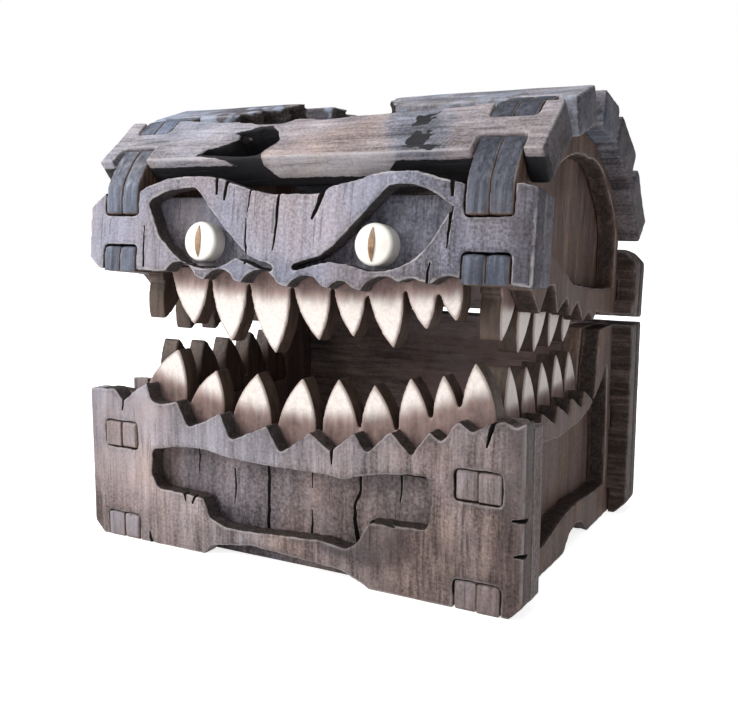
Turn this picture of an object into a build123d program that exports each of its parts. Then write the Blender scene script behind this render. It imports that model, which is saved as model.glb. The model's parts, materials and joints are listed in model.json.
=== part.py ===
from build123d import *
import os
from math import asin, atan2, cos, degrees, pi, sin

# A small toothed dice chest in doubled plywood, standing with its hinged lid ajar.
# Millimetres. X to the right, Y from the front face to the back, Z up from the table.

# ---- driving sizes ------------------------------------------------------------
panel_width = 114.0         # front and back panels, side to side
chest_depth = 89.0          # front face of the box to its back face
box_height = 51.2           # table to the top edge of the box's back
ply = 5.0                   # one layer of plywood
overhang = 5.0              # front and back panels stand this far past the side walls
stave_thickness = 9.0       # planks of the lid
lid_gap = 0.8               # between box back and lid back with the lid shut
lid_ajar = 6.4              # degrees that the lid stands open at rest
lid_front_top = 23.0        # top of the lid's front, above the hinge line, between the brows
lid_back_top = 18.3         # top of the lid's back, above the hinge line
tab_length = 6.2            # height of one tab of a side wall
box_tab_low = 0.0           # bottoms of the two box tabs, above the table
box_tab_high = 23.0
lid_tab_low = 4.6           # bottom of the lid tab, above the hinge line
rib_slot_low = 18.2         # bottom of the open slots that the ribs rise from
fit = 0.1                   # clearance round a glued tab
floor_thickness = 5.0
floor_low = 5.0             # underside of the floor above the table

eye_radius = 4.5            # an eyeball is a round button with a softened edge
eye_proud = 4.3             # how far it stands out of the inner layer
eye_edge = 0.8              # radius of its softened edge
eye_crown = 0.4             # rise of its face inside that edge
eye_left = (-23.8, 12.3)    # centre across, and height above the hinge line
eye_right = (21.5, 12.3)
pupil_height = 7.2
pupil_width = 1.5
pupil_proud = 0.25
eye_clear = 0.1             # from an eyeball's base to the outer layer round it

hinge_spread = 56.0         # distance between the two hinges' middles
hinge_length = 16.0
leaf_width = 9.5
leaf_thickness = 0.8
knuckle_diameter = 3.0
knuckle_gap = 0.3           # between knuckles, and between a knuckle and the other leaf
pin_diameter = 1.5
pin_play = 0.05             # running clearance in the lid's knuckle, on the radius
pin_head = 0.6
pin_head_lap = 0.4          # a pin's head stands this far past the pin, on the radius
wood_gap = 0.1              # between knuckle and wood
screw_diameter = 1.6
screw_head = 3.0
screw_length = 6.0
screw_pitch = 9.0
screw_slot_width = 0.5
screw_slot_depth = 0.35

groove_width = 0.7          # scored lines between painted planks
groove_depth = 0.8
tooth_root = 1.6            # how far a front tooth's foot is sunk in its strip
strip_inset = 1.0           # the strips and their seats stop this far inside the side walls

# ---- sizes that follow --------------------------------------------------------
half_panel = panel_width / 2
wall_outer = half_panel - overhang
wall_middle = wall_outer - ply
wall_inner = wall_outer - 2 * ply
panel_thickness = 2 * ply
back_front = chest_depth - panel_thickness
lid_low = box_height + lid_gap
axis_y = chest_depth + knuckle_diameter / 2 + wood_gap
axis_z = box_height + lid_gap / 2


# ---- helpers ------------------------------------------------------------------
# The outlines in capitals are drawn at the nominal size. The gum line runs from end to end of
# the drawn panel and the wall's step starts at its back top corner, so these two give the
# drawn sizes, and every outline stretches from those to the real ones.
def across(x):
    drawn_width = GUM_LINE[-1][0] - GUM_LINE[0][0]
    return x * panel_width / drawn_width


def deep(y):
    drawn_depth = WALL_STEP[0][0]
    return y * chest_depth / drawn_depth


def tall(z):
    drawn_height = WALL_STEP[0][1]
    return z * box_height / drawn_height


def above(h):
    """A height above the hinge line, as a height above the table."""
    return box_height + h


def outline(steps):
    """A closed flat face. A step is a corner, or a pair: a point on an arc, and the arc's end."""
    edges = []
    here = steps[0]
    for step in list(steps[1:]) + [steps[0]]:
        if isinstance(step[0], tuple):
            through, there = step
            edges.append(ThreePointArc(here, through, there))
        else:
            there = step
            if there != here:
                edges.append(Line(here, there))
        here = there
    return make_face(edges)


def facing_plate(face, front, thickness):
    """A face drawn as (x, z), made into a plate from Y = front to front + thickness."""
    plane = Plane(origin=(0, front + thickness, 0), x_dir=(1, 0, 0), z_dir=(0, -1, 0))
    return plane * extrude(face, thickness)


def side_plate(face, inner, thickness):
    """A face drawn as (y, z), made into a plate from X = inner to inner + thickness."""
    plane = Plane(origin=(inner, 0, 0), x_dir=(0, 1, 0), z_dir=(1, 0, 0))
    return plane * extrude(face, thickness)


def rectangle(low_x, low_z, high_x, high_z):
    return outline([(low_x, low_z), (high_x, low_z), (high_x, high_z), (low_x, high_z)])


def block(x0, y0, z0, x1, y1, z1):
    return Pos((x0 + x1) / 2, (y0 + y1) / 2, (z0 + z1) / 2) * Box(x1 - x0, y1 - y0, z1 - z0)


def left_of(shape):
    return mirror(shape, about=Plane.YZ)


def bowed(start, end, bulge):
    """The middle of a tooth's side, bowed outward by a share of its length."""
    along = (end[0] - start[0], end[1] - start[1])
    return (
        (start[0] + end[0]) / 2 + along[1] * bulge,
        (start[1] + end[1]) / 2 - along[0] * bulge,
    )


def fang(left, right, tip, bulge=0.09):
    """One tooth as a face: two foot points and a tip, its two sides bowed outward."""
    up = 1 if tip[1] > left[1] else -1
    side_left = bowed(left, tip, -bulge * up)
    side_right = bowed(tip, right, -bulge * up)
    return outline([left, (side_left, tip), (side_right, right)])


def tooth_row(strip, teeth):
    """A strip with its teeth as one face. A tooth is (left foot, right foot, tip)."""
    row = strip
    for left, right, tip in teeth:
        row += fang(left, right, tip)
    return row


def sunk(teeth, root):
    """The same teeth with their feet moved up or down by the root, into their strip."""
    return [((l[0], l[1] + root), (r[0], r[1] + root), tip) for l, r, tip in teeth]


def grooves(lines, front):
    """Scored lines cut into a face at Y = front. A line is (x, z) to (x, z)."""
    cuts = []
    for (xa, za), (xb, zb) in lines:
        length = ((xb - xa) ** 2 + (zb - za) ** 2) ** 0.5
        turn = degrees(atan2(zb - za, xb - xa))
        mark = Box(length, 2 * groove_depth, groove_width)
        cuts.append(Pos((xa + xb) / 2, front, (za + zb) / 2) * Rot(0, -turn, 0) * mark)
    return cuts


def slot_pair(low, high, clear=fit):
    """The two slots that a pair of side walls passes through, as (x, z) faces."""
    faces = []
    for middle in (-(wall_inner + wall_outer) / 2, (wall_inner + wall_outer) / 2):
        half = ply + clear
        faces.append(rectangle(middle - half, low - clear, middle + half, high + clear))
    return faces


def cut_all(shape, tools):
    for tool in tools:
        shape -= tool
    return shape


# ---- box: front panel ---------------------------------------------------------
def front_point(point):
    return (across(point[0]), tall(point[1]))


# Feet: (left foot point, right foot point, tip), drawn on the nominal panel.
LOWER_FRONT_TEETH = [
    ((-44.0, 37.0), (-30.8, 35.2), (-32.6, 47.6)),
    ((-29.9, 35.2), (-19.6, 33.0), (-21.3, 43.4)),
    ((-17.2, 33.0), (-6.0, 31.6), (-9.6, 43.6)),
    ((-4.5, 32.0), (6.0, 31.0), (2.7, 43.6)),
    ((7.6, 31.6), (16.9, 32.4), (12.0, 44.2)),
    ((17.6, 32.8), (26.0, 34.0), (20.8, 43.6)),
    ((26.9, 34.2), (34.2, 35.8), (29.4, 46.0)),
    ((34.9, 36.0), (40.7, 37.6), (36.9, 47.2)),
    ((41.3, 37.4), (48.8, 38.6), (43.9, 50.2)),
]
GUM_LINE = [
    (-57.0, 37.0), (-48.8, 37.5), (-46.3, 34.7), (-41.6, 38.1), (-38.4, 39.8), (-37.3, 35.4),
    (-33.9, 35.0), (-29.4, 36.2), (-26.2, 30.3), (-20.8, 32.5), (-16.8, 34.8), (-14.0, 28.6),
    (-4.8, 32.6), (-3.9, 33.2), (-0.3, 27.3), (6.1, 31.8), (7.4, 33.1), (12.7, 29.2),
    (17.9, 33.7), (18.8, 34.0), (21.5, 30.0), (25.8, 34.1), (27.4, 35.4), (32.0, 30.9),
    (36.1, 36.4), (38.9, 34.4), (41.1, 37.7), (42.4, 39.2), (45.6, 37.2), (48.9, 39.2),
    (52.4, 40.2), (54.6, 39.0), (57.0, 40.4),
]
FRONT_RECESS = [
    (-37.2, 23.4), (-30.0, 24.6), (-22.5, 25.2), (-15.3, 24.0), (-2.8, 23.5), (10.4, 23.7),
    (16.6, 23.2), (19.8, 24.4), (25.6, 25.6), (35.5, 26.6), (36.7, 22.1), (35.8, 15.6),
    (22.0, 15.1), (19.6, 10.5), (16.6, 8.2), (10.3, 9.1), (-10.0, 7.7), (-15.7, 7.7),
    (-20.3, 9.2), (-22.0, 13.7), (-28.3, 14.1), (-35.7, 14.2), (-37.6, 17.2),
]
FRONT_FEET = [
    (-54.0, 0.0), (-22.0, 0.0), (-20.0, 2.4), (-8.6, 4.2), (15.3, 2.8), (20.4, 0.9), (22.0, 0.0),
    (54.0, 0.0),
]
LOWER_PLANKS = [
    ((-26.7, 23.0), (-26.9, 17.5)), ((-16.3, 20.3), (-16.6, 12.0)), ((-6.6, 22.0), (-6.8, 7.0)),
    ((5.1, 22.0), (5.2, 19.0)), ((5.0, 13.4), (5.1, 7.4)), ((16.2, 22.4), (17.6, 15.6)),
    ((17.6, 15.6), (17.0, 8.6)), ((27.4, 24.6), (27.7, 19.2)),
]
LOWER_CRACKS = [
    ((-28.2, 15.0), (-26.9, 12.0)), ((-24.6, 15.0), (-25.2, 11.8)), ((50.1, 41.0), (48.8, 34.6)),
    ((-46.2, 36.0), (-46.5, 32.4)), ((12.9, 30.6), (13.3, 26.6)),
]
PANEL_SHOULDERS = [(57.0, 38.6), (49.8, 38.0), (-45.3, 35.8), (-57.0, 36.2)]
LOWER_STRIP = [
    (49.8, 37.2), (34.5, 35.4), (17.2, 32.4), (6.8, 30.8), (-5.2, 31.4), (-18.4, 32.6),
    (-30.4, 34.8), (-45.3, 35.4),
]
corner = 3.0                # rounded corners of the panels
teeth_seat = 25.0           # top of the inner layer under the front teeth
seat_over_slot = 1.0        # wood left over a slot under the ends of the lower teeth
teeth_seat_ends = box_tab_high + tab_length + seat_over_slot


def box_front_outer():
    left = [(-half_panel, tall(corner))]
    feet = [front_point(p) for p in FRONT_FEET]
    right = [(half_panel, tall(corner))]
    top = [front_point(p) for p in reversed(GUM_LINE)]
    face = outline(left + feet + right + top)
    face -= outline([front_point(p) for p in FRONT_RECESS])
    for low in (box_tab_low, box_tab_high):
        face = cut_all(face, slot_pair(low, low + tab_length))
    shape = facing_plate(face, 0, ply)
    cracks = [(front_point(a), front_point(b)) for a, b in LOWER_CRACKS]
    return cut_all(shape, grooves(cracks, 0))


def lower_row_ends():
    """Left and right end of the lower front teeth's strip."""
    return across(LOWER_STRIP[-1][0]), across(LOWER_STRIP[0][0])


def lower_seat(leftward):
    """Where the teeth's strip sits on the inner layer, walked to the left or to the right."""
    low_left, low_right = lower_row_ends()
    seat = tall(teeth_seat)
    steps = [
        (low_right, teeth_seat_ends),
        (wall_inner - strip_inset, teeth_seat_ends),
        (wall_inner - strip_inset, seat),
        (-wall_inner + strip_inset, seat),
        (-wall_inner + strip_inset, teeth_seat_ends),
        (low_left, teeth_seat_ends),
    ]
    return steps if leftward else steps[::-1]


def box_front_inner():
    shoulders = [front_point(p) for p in PANEL_SHOULDERS]
    foot = [
        (-half_panel, tall(corner)),
        (-half_panel + corner, 0),
        (half_panel - corner, 0),
        (half_panel, tall(corner)),
    ]
    face = outline(foot + shoulders[:2] + lower_seat(True) + shoulders[2:])
    for low in (box_tab_low, box_tab_high):
        face = cut_all(face, slot_pair(low, low + tab_length))
    shape = facing_plate(face, ply, ply)
    planks = [(front_point(a), front_point(b)) for a, b in LOWER_PLANKS]
    return cut_all(shape, grooves(planks, ply))


def lower_front_teeth():
    strip = outline(lower_seat(False) + [front_point(p) for p in LOWER_STRIP])
    teeth = [tuple(front_point(p) for p in tooth) for tooth in LOWER_FRONT_TEETH]
    return facing_plate(tooth_row(strip, sunk(teeth, -tooth_root)), ply, ply)


# ---- box: side walls ----------------------------------------------------------
LOWER_SIDE_TIPS = [(16.7, 48.2), (27.2, 46.8), (37.4, 46.4), (47.6, 46.8), (57.4, 46.4)]
LOWER_SIDE_LEAN = 2.8       # how far a foot's middle lies behind its tip
side_foot = 9.0             # width of a side tooth at its foot
side_gum = 37.4             # tops of the side gum's points
side_seat = 31.0            # top of the box's inner layer under the side teeth
side_root = 4.0             # a side tooth's foot lies this far under the gum's points
side_strip = 3.0            # and its strip's top edge this far
WALL_STEP = [(89.0, 51.2), (67.0, 51.2), (66.6, 47.0), (65.2, 43.6)]
GUM_NICK = (1.1, 4.2)       # depth and height from a gum point to the dip in front of it
front_gum = 38.6            # top of the wall's outer layer at the front panel
row_end = 65.0              # rear end of the side teeth's strips
row_shoulder = 44.0         # the inner layer's top behind the lower side teeth
jaw = WALL_STEP[1][0]       # the box's and lid's walls meet behind this depth
BOX_SIDE_RECESS = [
    (16.0, 30.4), (22.3, 30.4), (36.0, 29.3), (50.0, 29.7), (59.7, 31.6), (65.6, 34.1),
    (70.7, 37.4), (74.4, 41.2), (75.4, 30.0), (75.8, 9.0), (65.2, 9.1), (53.7, 10.1),
    (41.8, 9.6), (27.7, 6.7), (16.0, 6.7),
]
SIDE_ARCH = [(42.0, 0.0), (46.3, 3.3), (51.9, 4.5), (57.1, 3.2), (61.0, 0.0)]


def side_point(point):
    return (deep(point[0]), tall(point[1]))


def lower_side_feet():
    """Front and rear foot of each lower side tooth, with its tip."""
    teeth = []
    for y, z in LOWER_SIDE_TIPS:
        middle = y + LOWER_SIDE_LEAN
        front = (middle - side_foot / 2, side_gum - side_root)
        rear = (middle + side_foot / 2, side_gum - side_root)
        teeth.append((side_point(front), side_point(rear), side_point((y, z))))
    return teeth


def wall_tabs_front(lows):
    """Front edge of a wall, downwards, with its tabs through both layers of the front panel."""
    steps = []
    for low in sorted(lows, reverse=True):
        high = low + tab_length
        steps += [(panel_thickness, high), (0, high), (0, low), (panel_thickness, low)]
    return steps


def wall_tabs_back(lows):
    """Back edge of a wall, upwards, with its tabs through both layers of the back panel."""
    steps = []
    for low in sorted(lows):
        high = low + tab_length
        steps += [(back_front, low), (chest_depth, low), (chest_depth, high), (back_front, high)]
    return steps


def box_wall_edge():
    """Front edge down, bottom and back edge up: what both layers of a box wall share."""
    lows = (box_tab_low, box_tab_high)
    front = wall_tabs_front(lows)[:-1]
    arch = [side_point(p) for p in SIDE_ARCH]
    back = wall_tabs_back(lows)[1:]
    return front + arch + back


def box_side_outer():
    gum = [side_point(p) for p in WALL_STEP[1:]]
    back, drop = GUM_NICK
    for front, rear, _ in reversed(lower_side_feet()):
        gum += [(rear[0], tall(side_gum)), (rear[0] - deep(back), tall(side_gum - drop))]
    first = lower_side_feet()[0][0][0]
    gum += [(first, tall((side_gum + front_gum) / 2)), (panel_thickness, tall(front_gum))]
    face = outline(box_wall_edge() + [(back_front, box_height)] + gum)
    face -= outline([side_point(p) for p in BOX_SIDE_RECESS])
    return side_plate(face, wall_middle, ply)


def side_row_ends():
    """Front and rear end of the side teeth's strips."""
    return panel_thickness + fit, deep(row_end)


def box_side_inner():
    front, rear = side_row_ends()
    seat = tall(side_seat)
    top = [
        (back_front, box_height),
        (deep(jaw), box_height),
        (rear + fit, tall(row_shoulder)),
        (rear + fit, seat),
        (panel_thickness, seat),
    ]
    return side_plate(outline(box_wall_edge() + top), wall_inner, ply)


def lower_side_teeth():
    front, rear = side_row_ends()
    strip = rectangle(front, tall(side_seat), rear, tall(side_gum - side_strip))
    return side_plate(tooth_row(strip, lower_side_feet()), wall_inner, ply)


# ---- box: back and floor ------------------------------------------------------
BACK_PLANKS = [
    ((-38.0, 3.0), (-38.0, 40.0)), ((-19.0, 3.0), (-19.0, 40.0)), ((0.0, 3.0), (0.0, 40.0)),
    ((19.0, 3.0), (19.0, 40.0)), ((38.0, 3.0), (38.0, 40.0)),
]


def box_back_face():
    face = outline([
        (-half_panel + corner, 0),
        (half_panel - corner, 0),
        (half_panel, corner),
        (half_panel, box_height),
        (-half_panel, box_height),
        (-half_panel, corner),
    ])
    for low in (box_tab_low, box_tab_high):
        face = cut_all(face, slot_pair(low, low + tab_length))
    return face


def box_back_outer():
    shape = facing_plate(box_back_face(), chest_depth - ply, ply)
    lines = [(front_point(a), front_point(b)) for a, b in BACK_PLANKS]
    shape = cut_all(shape, grooves(lines, chest_depth))
    return cut_all(shape, screw_bores(-1))


def box_back_inner():
    return cut_all(facing_plate(box_back_face(), back_front, ply), screw_bores(-1))


def floor():
    return block(
        -wall_inner, panel_thickness, floor_low,
        wall_inner, back_front, floor_low + floor_thickness,
    )


# ---- lid: front panel ---------------------------------------------------------
UPPER_FRONT_TEETH = [
    ((-34.7, 3.6), (-23.9, 3.0), (-27.3, -7.0)),
    ((-22.9, 2.8), (-12.9, 2.4), (-16.2, -10.4)),
    ((-11.9, 2.4), (-1.2, 2.0), (-3.9, -12.2)),
    ((-0.2, 2.0), (9.2, 2.2), (7.3, -8.6)),
    ((10.3, 2.2), (17.9, 2.4), (15.9, -7.4)),
    ((18.6, 2.4), (26.6, 3.4), (25.6, -9.0)),
    ((27.4, 3.6), (34.3, 4.0), (33.0, -4.8)),
    ((34.6, 4.2), (40.1, 4.8), (39.5, -2.8)),
]
LID_GUM = [
    (-54.0, 5.0), (-40.0, 5.0), (-32.8, 4.8), ((-28.6, 7.3), (-24.2, 4.2)), (-21.2, 3.2),
    ((-17.6, 5.8), (-13.1, 3.5)), (-10.8, 2.9), ((-6.3, 6.1), (-1.4, 3.2)), (1.5, 2.5),
    ((6.0, 5.2), (10.1, 2.8)), (11.8, 2.5), ((14.5, 4.2), (17.4, 2.9)), (19.8, 2.4),
    ((23.9, 5.6), (27.8, 4.5)), (28.5, 4.5), ((30.6, 5.3), (33.0, 4.7)), (35.7, 4.2),
    ((39.4, 6.1), (42.7, 4.9)), (57.0, 4.4),
]
BROW_LINE = [
    (57.0, 23.6), (54.0, 24.4), (42.2, 24.6), (36.4, 25.9), ((28.6, 27.4), (18.3, 26.0)),
    (10.7, 24.2), (9.3, 23.0), (-4.0, 23.0), (-8.0, 23.6), (-12.2, 24.7), (-17.8, 26.6),
    ((-25.8, 27.2), (-33.8, 26.6)), (-38.3, 25.5), (-41.7, 23.9), (-51.9, 23.8), (-54.6, 22.0),
    (-57.0, 20.0), (-57.0, 8.0),
]
LEFT_EYE_HOLE = [
    (-38.6, 21.2), (-33.6, 23.4), (-29.2, 24.0), (-24.8, 24.1), (-20.2, 19.0), (-15.7, 14.5),
    (-11.3, 10.6), (-9.3, 8.9), (-2.5, 7.1), (-2.9, 5.9), (-5.4, 6.3), (-12.6, 9.0),
    ((-20.9, 6.3), (-28.8, 8.2)), (-31.3, 10.2), (-35.2, 13.6), (-37.3, 18.3),
]
RIGHT_EYE_HOLE = [
    (24.9, 24.0), ((31.0, 24.0), (37.2, 21.0)), (39.6, 19.8), (38.0, 18.4), (36.4, 15.5),
    (34.6, 12.9), ((27.8, 7.8), (18.3, 7.6)), (15.9, 8.2), (11.6, 8.6), (6.0, 7.2), (2.0, 6.2),
    (2.4, 7.4), (9.2, 9.3), (13.2, 12.1), (16.6, 15.7), (21.0, 20.0),
]
LID_CRACKS = [
    ((-18.7, 28.0), (-18.5, 22.8)), ((-15.6, 27.4), (-16.4, 21.6)), ((-9.2, 25.2), (-9.8, 19.2)),
    ((-10.1, 17.2), (-9.9, 8.8)), ((-1.8, 24.2), (-2.7, 10.8)), ((9.5, 24.4), (7.1, 17.6)),
    ((-39.6, 15.4), (-39.3, 6.4)), ((38.9, 26.6), (39.2, 22.2)), ((39.0, 19.6), (38.8, 12.2)),
    ((35.1, 8.6), (34.3, 3.8)),
]
UPPER_STRIP = [(-35.4, 5.2), (-23.4, 3.9), (-12.4, 3.3), (0.0, 2.9), (18.2, 3.2), (34.6, 4.8)]
upper_strip_ends = 5.6
upper_seat = 6.6            # bottom of the lid's inner front layer, above the hinge line
upper_foot = 4.8            # and at its ends, beside the teeth


def lid_point(point):
    return (across(point[0]), above(point[1]))


def lid_steps(steps):
    """Lid outline steps on the drawn panel, arcs included, on the real one."""
    real = []
    for step in steps:
        if isinstance(step[0], tuple):
            real.append(tuple(lid_point(p) for p in step))
        else:
            real.append(lid_point(step))
    return real


def lid_slots():
    """The tab slots, open below, and the rib slots, open above."""
    tab_high = above(lid_tab_low) + tab_length
    rib_low = above(rib_slot_low)
    return slot_pair(above(0), tab_high) + slot_pair(rib_low, rib_low + 3 * tab_length)


def lid_front_outer():
    face = outline(lid_steps(LID_GUM + BROW_LINE))
    face -= outline(lid_steps(LEFT_EYE_HOLE))
    face -= outline(lid_steps(RIGHT_EYE_HOLE))
    face = cut_all(face, [eye_round(eye_left), eye_round(eye_right)])
    face = cut_all(face, lid_slots())
    shape = facing_plate(face, 0, ply)
    cracks = [(lid_point(a), lid_point(b)) for a, b in LID_CRACKS]
    return cut_all(shape, grooves(cracks, 0))


def lid_front_inner():
    seat = above(upper_seat)
    foot = above(upper_foot)
    top = above(lid_front_top)
    face = outline([
        (-half_panel + corner, foot),
        (-wall_inner + strip_inset, foot),
        (-wall_inner + strip_inset, seat),
        (wall_inner - strip_inset, seat),
        (wall_inner - strip_inset, foot),
        (half_panel, foot),
        (half_panel, top),
        (-half_panel + corner, top),
        (-half_panel, top - corner),
        (-half_panel, foot + corner),
    ])
    face = cut_all(face, lid_slots())
    return facing_plate(face, ply, ply)


def upper_front_teeth():
    low = -wall_inner + strip_inset
    high = wall_inner - strip_inset
    edge = [(low, above(upper_strip_ends))]
    edge += [lid_point(p) for p in UPPER_STRIP]
    edge += [(high, above(upper_strip_ends)), (high, above(upper_seat)), (low, above(upper_seat))]
    teeth = [tuple(lid_point(p) for p in tooth) for tooth in UPPER_FRONT_TEETH]
    return facing_plate(tooth_row(outline(edge), sunk(teeth, tooth_root)), ply, ply)


# ---- lid: eyes ----------------------------------------------------------------
def eye_round(centre):
    """The round that an eyeball and its clearance take out of the outer layer."""
    x, z = lid_point(centre)
    return Pos(x, z) * Circle(eye_radius + eye_clear)


def eye_button(centre, lift):
    """An eyeball's shape, standing out of the inner layer, with its face moved out by `lift`."""
    flat = eye_radius - eye_edge
    face = eye_proud + lift - eye_crown
    side = face - eye_edge
    softened = (flat + eye_edge * sin(pi / 4), side + eye_edge * sin(pi / 4))
    ball = (flat ** 2 + eye_crown ** 2) / (2 * eye_crown)
    half_turn = asin(flat / ball) / 2
    crowned = (ball * sin(half_turn), face + eye_crown - ball + ball * cos(half_turn))
    profile = outline([
        (0, 0),
        (eye_radius, 0),
        (eye_radius, side),
        (softened, (flat, face)),
        (crowned, (0, face + eye_crown)),
    ])
    x, z = lid_point(centre)
    return Pos(x, ply, z) * Rot(180, 0, 0) * revolve(profile, Axis.Y)


def pupil_prism(centre):
    height = pupil_height / 2
    width = pupil_width / 2
    x, z = lid_point(centre)
    foot = (x, z - height)
    top = (x, z + height)
    face = outline([foot, ((x + width, z), top), ((x - width, z), foot)])
    return facing_plate(face, -ply, ply + ply / 2)


def pupil(centre):
    inlay = eye_button(centre, pupil_proud) - eye_button(centre, -pupil_proud)
    return inlay & pupil_prism(centre)


def eyeball(centre):
    return eye_button(centre, 0) - pupil(centre)


# ---- lid: planks --------------------------------------------------------------
# Outer edge of each plank, front to rear: (depth, height above the hinge line).
STAVES = [
    ((1.5, 31.2), (13.4, 43.1)),
    ((20.3, 45.1), (33.2, 50.3)),
    ((41.6, 51.1), (54.1, 49.9)),
    ((57.4, 48.6), (72.4, 41.8)),
    ((75.3, 38.5), (87.5, 26.3)),
]
rib_reach = 5.6             # how far the ribs run up the first plank's face
tab_notch_low = 5.2         # notch in the first plank's rear edge
tab_notch_high = 3.0        # notch in the second plank's front edge
# Worn edges, as points across and along a plank's face. FIRST_WORN is measured from the rear.
FIRST_WORN = [
    (30.0, -0.8), (16.0, -1.8), (2.0, -2.6), (-6.0, -1.6), (-9.0, -3.4), (-14.0, -3.6),
    (-21.0, -2.4), (-32.0, -0.6),
]
BURNT_HOLE = [
    (-26.8, 2.6), (-25.0, 4.0), (-19.3, 5.4), (-18.0, 8.0), (-19.9, 9.8), (-16.5, 10.2),
    (-11.8, 11.4), (-9.4, 10.6), (-7.0, 6.6), (-8.6, 3.8), (-9.6, 1.6), (-12.2, 0.8),
    (-15.4, 0.7), (-18.6, 1.5), (-23.8, 1.9),
]
SECOND_LEFT_END = [
    (-33.0, 0.0), (-28.5, 1.2), (-31.2, 3.4), (-24.5, 5.2), (-27.6, 7.4), (-19.4, 9.6),
    (-22.6, 11.4),
]
SECOND_RIGHT_END = [(9.9, 11.2), (8.1, 9.3), (12.3, 6.8), (10.8, 4.6), (14.9, 2.4), (13.6, 0.0)]
THIRD_LEFT_END = [(-14.6, 0.0), (-11.8, 3.0), (-15.9, 4.8), (-10.6, 7.8), (-14.3, 10.2)]
THIRD_RIGHT_END = [(2.4, 9.6), (6.6, 7.3), (3.8, 4.2), (7.6, 2.2), (4.6, 0.0)]
REAR_CORNERS = [-16.6, 7.0, -11.4, 5.2]     # where those four ends meet their rear edges
FOURTH_WORN = [(-7.5, 0.0), (-4.4, 3.4), (-1.6, 1.9), (1.4, 4.6), (3.6, 2.2), (6.8, 0.0)]


class Stave:
    """Where a plank lies: its outer face runs up from `front`, tilted by `slope`."""

    def __init__(self, number):
        front, rear = STAVES[number]
        self.front = (deep(front[0]), above(front[1]))
        self.rear = (deep(rear[0]), above(rear[1]))
        run = (self.rear[0] - self.front[0], self.rear[1] - self.front[1])
        self.length = (run[0] ** 2 + run[1] ** 2) ** 0.5
        self.slope = atan2(run[1], run[0])

    def at(self, along, inward):
        """The (y, z) point `along` the outer face from its front edge, and `inward` from it."""
        y = self.front[0] + along * cos(self.slope) + inward * sin(self.slope)
        z = self.front[1] + along * sin(self.slope) - inward * cos(self.slope)
        return (y, z)

    def board(self, steps):
        """The plank itself, from its outline drawn as (x, along the outer face)."""
        plane = Plane(
            origin=(0, self.front[0], self.front[1]),
            x_dir=(1, 0, 0),
            z_dir=(0, -sin(self.slope), cos(self.slope)),
        )
        return plane * extrude(outline(steps), -stave_thickness)


def notch(side, depth, edge, direction):
    """Corners of a notch for a pair of wall layers: side -1 or 1, walked in `direction` of X."""
    near = side * (wall_inner - fit)
    far = side * (wall_outer + fit)
    first, second = sorted((near, far), reverse=direction < 0)
    return [(first, edge), (first, depth), (second, depth), (second, edge)]


def worn(points, start=0.0):
    """A worn edge's points on the real plank."""
    return [(across(x), start + along) for x, along in points]


def stave_1():
    s = Stave(0)
    end = s.length
    low = end - tab_notch_low
    steps = [(-half_panel, 0)]
    steps += notch(-1, rib_reach, 0, 1)
    steps += notch(1, rib_reach, 0, 1)
    steps += [(half_panel, 0), (half_panel, end)]
    steps += notch(1, low, end, -1)
    steps += worn(FIRST_WORN, end)
    steps += notch(-1, low, end, -1)
    steps += [(-half_panel, end)]
    return s.board(steps) - s.board(worn(BURNT_HOLE))


def stave_2_left():
    s = Stave(1)
    end = s.length
    steps = [(-half_panel, 0)]
    steps += notch(-1, tab_notch_high, 0, 1)
    steps += worn(SECOND_LEFT_END)
    return s.board(steps + [(across(REAR_CORNERS[0]), end), (-half_panel, end)])


def stave_2_right():
    s = Stave(1)
    end = s.length
    steps = [(half_panel, 0), (half_panel, end), (across(REAR_CORNERS[1]), end)]
    steps += worn(SECOND_RIGHT_END)
    return s.board(steps + notch(1, tab_notch_high, 0, 1))


def stave_3_left():
    s = Stave(2)
    end = s.length
    steps = [(-half_panel, 0)] + worn(THIRD_LEFT_END)
    return s.board(steps + [(across(REAR_CORNERS[2]), end), (-half_panel, end)])


def stave_3_right():
    s = Stave(2)
    end = s.length
    steps = [(half_panel, 0), (half_panel, end), (across(REAR_CORNERS[3]), end)]
    return s.board(steps + worn(THIRD_RIGHT_END))


def stave_4():
    s = Stave(3)
    steps = [(-half_panel, 0)] + worn(FOURTH_WORN) + [(half_panel, 0)]
    return s.board(steps + [(half_panel, s.length), (-half_panel, s.length)])


def stave_5():
    s = Stave(4)
    steps = [(-half_panel, 0), (half_panel, 0), (half_panel, s.length), (-half_panel, s.length)]
    return s.board(steps)


# ---- lid: side walls ----------------------------------------------------------
UPPER_SIDE_TIPS = [(11.8, -6.4), (22.1, -9.0), (32.3, -8.8), (42.6, -7.6), (52.8, -6.6)]
UPPER_SIDE_LEAN = 3.8
upper_side_foot = 8.0       # width of an upper side tooth at its foot
upper_side_root = 4.4       # height of an upper side tooth's foot
upper_side_strip = 3.4      # bottom of the upper side teeth's strip
upper_side_seat = 7.4       # bottom of the lid's inner side layer, above the hinge line
lid_rail_low = 1.4          # and behind the teeth
RIB_NOSE = [(0.0, 24.4), (1.2, 27.6), (3.4, 31.6)]
skin = 0.3                  # a wall's tabs end this far under the planks' outer faces
LID_RAIL = [
    (63.0, 1.4), (60.0, -1.0), (56.5, 1.2), (51.5, -1.3), (46.6, 3.2), (41.5, -0.4), (38.0, 4.0),
    (31.6, 0.0), (28.6, 6.2), (24.2, 5.6), (20.0, -0.4), (14.0, 4.4),
]
LID_SIDE_RECESS = [
    (15.5, 15.2), (30.6, 11.4), (42.7, 7.4), (56.7, 7.2), (68.4, 7.6), (76.4, 8.6),
    (75.8, 21.4), ((71.6, 27.4), (66.2, 31.2)), ((57.5, 36.0), (47.9, 36.4)),
    ((38.0, 35.8), (28.0, 32.4)), (19.5, 28.0), (15.5, 23.0),
]


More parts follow.
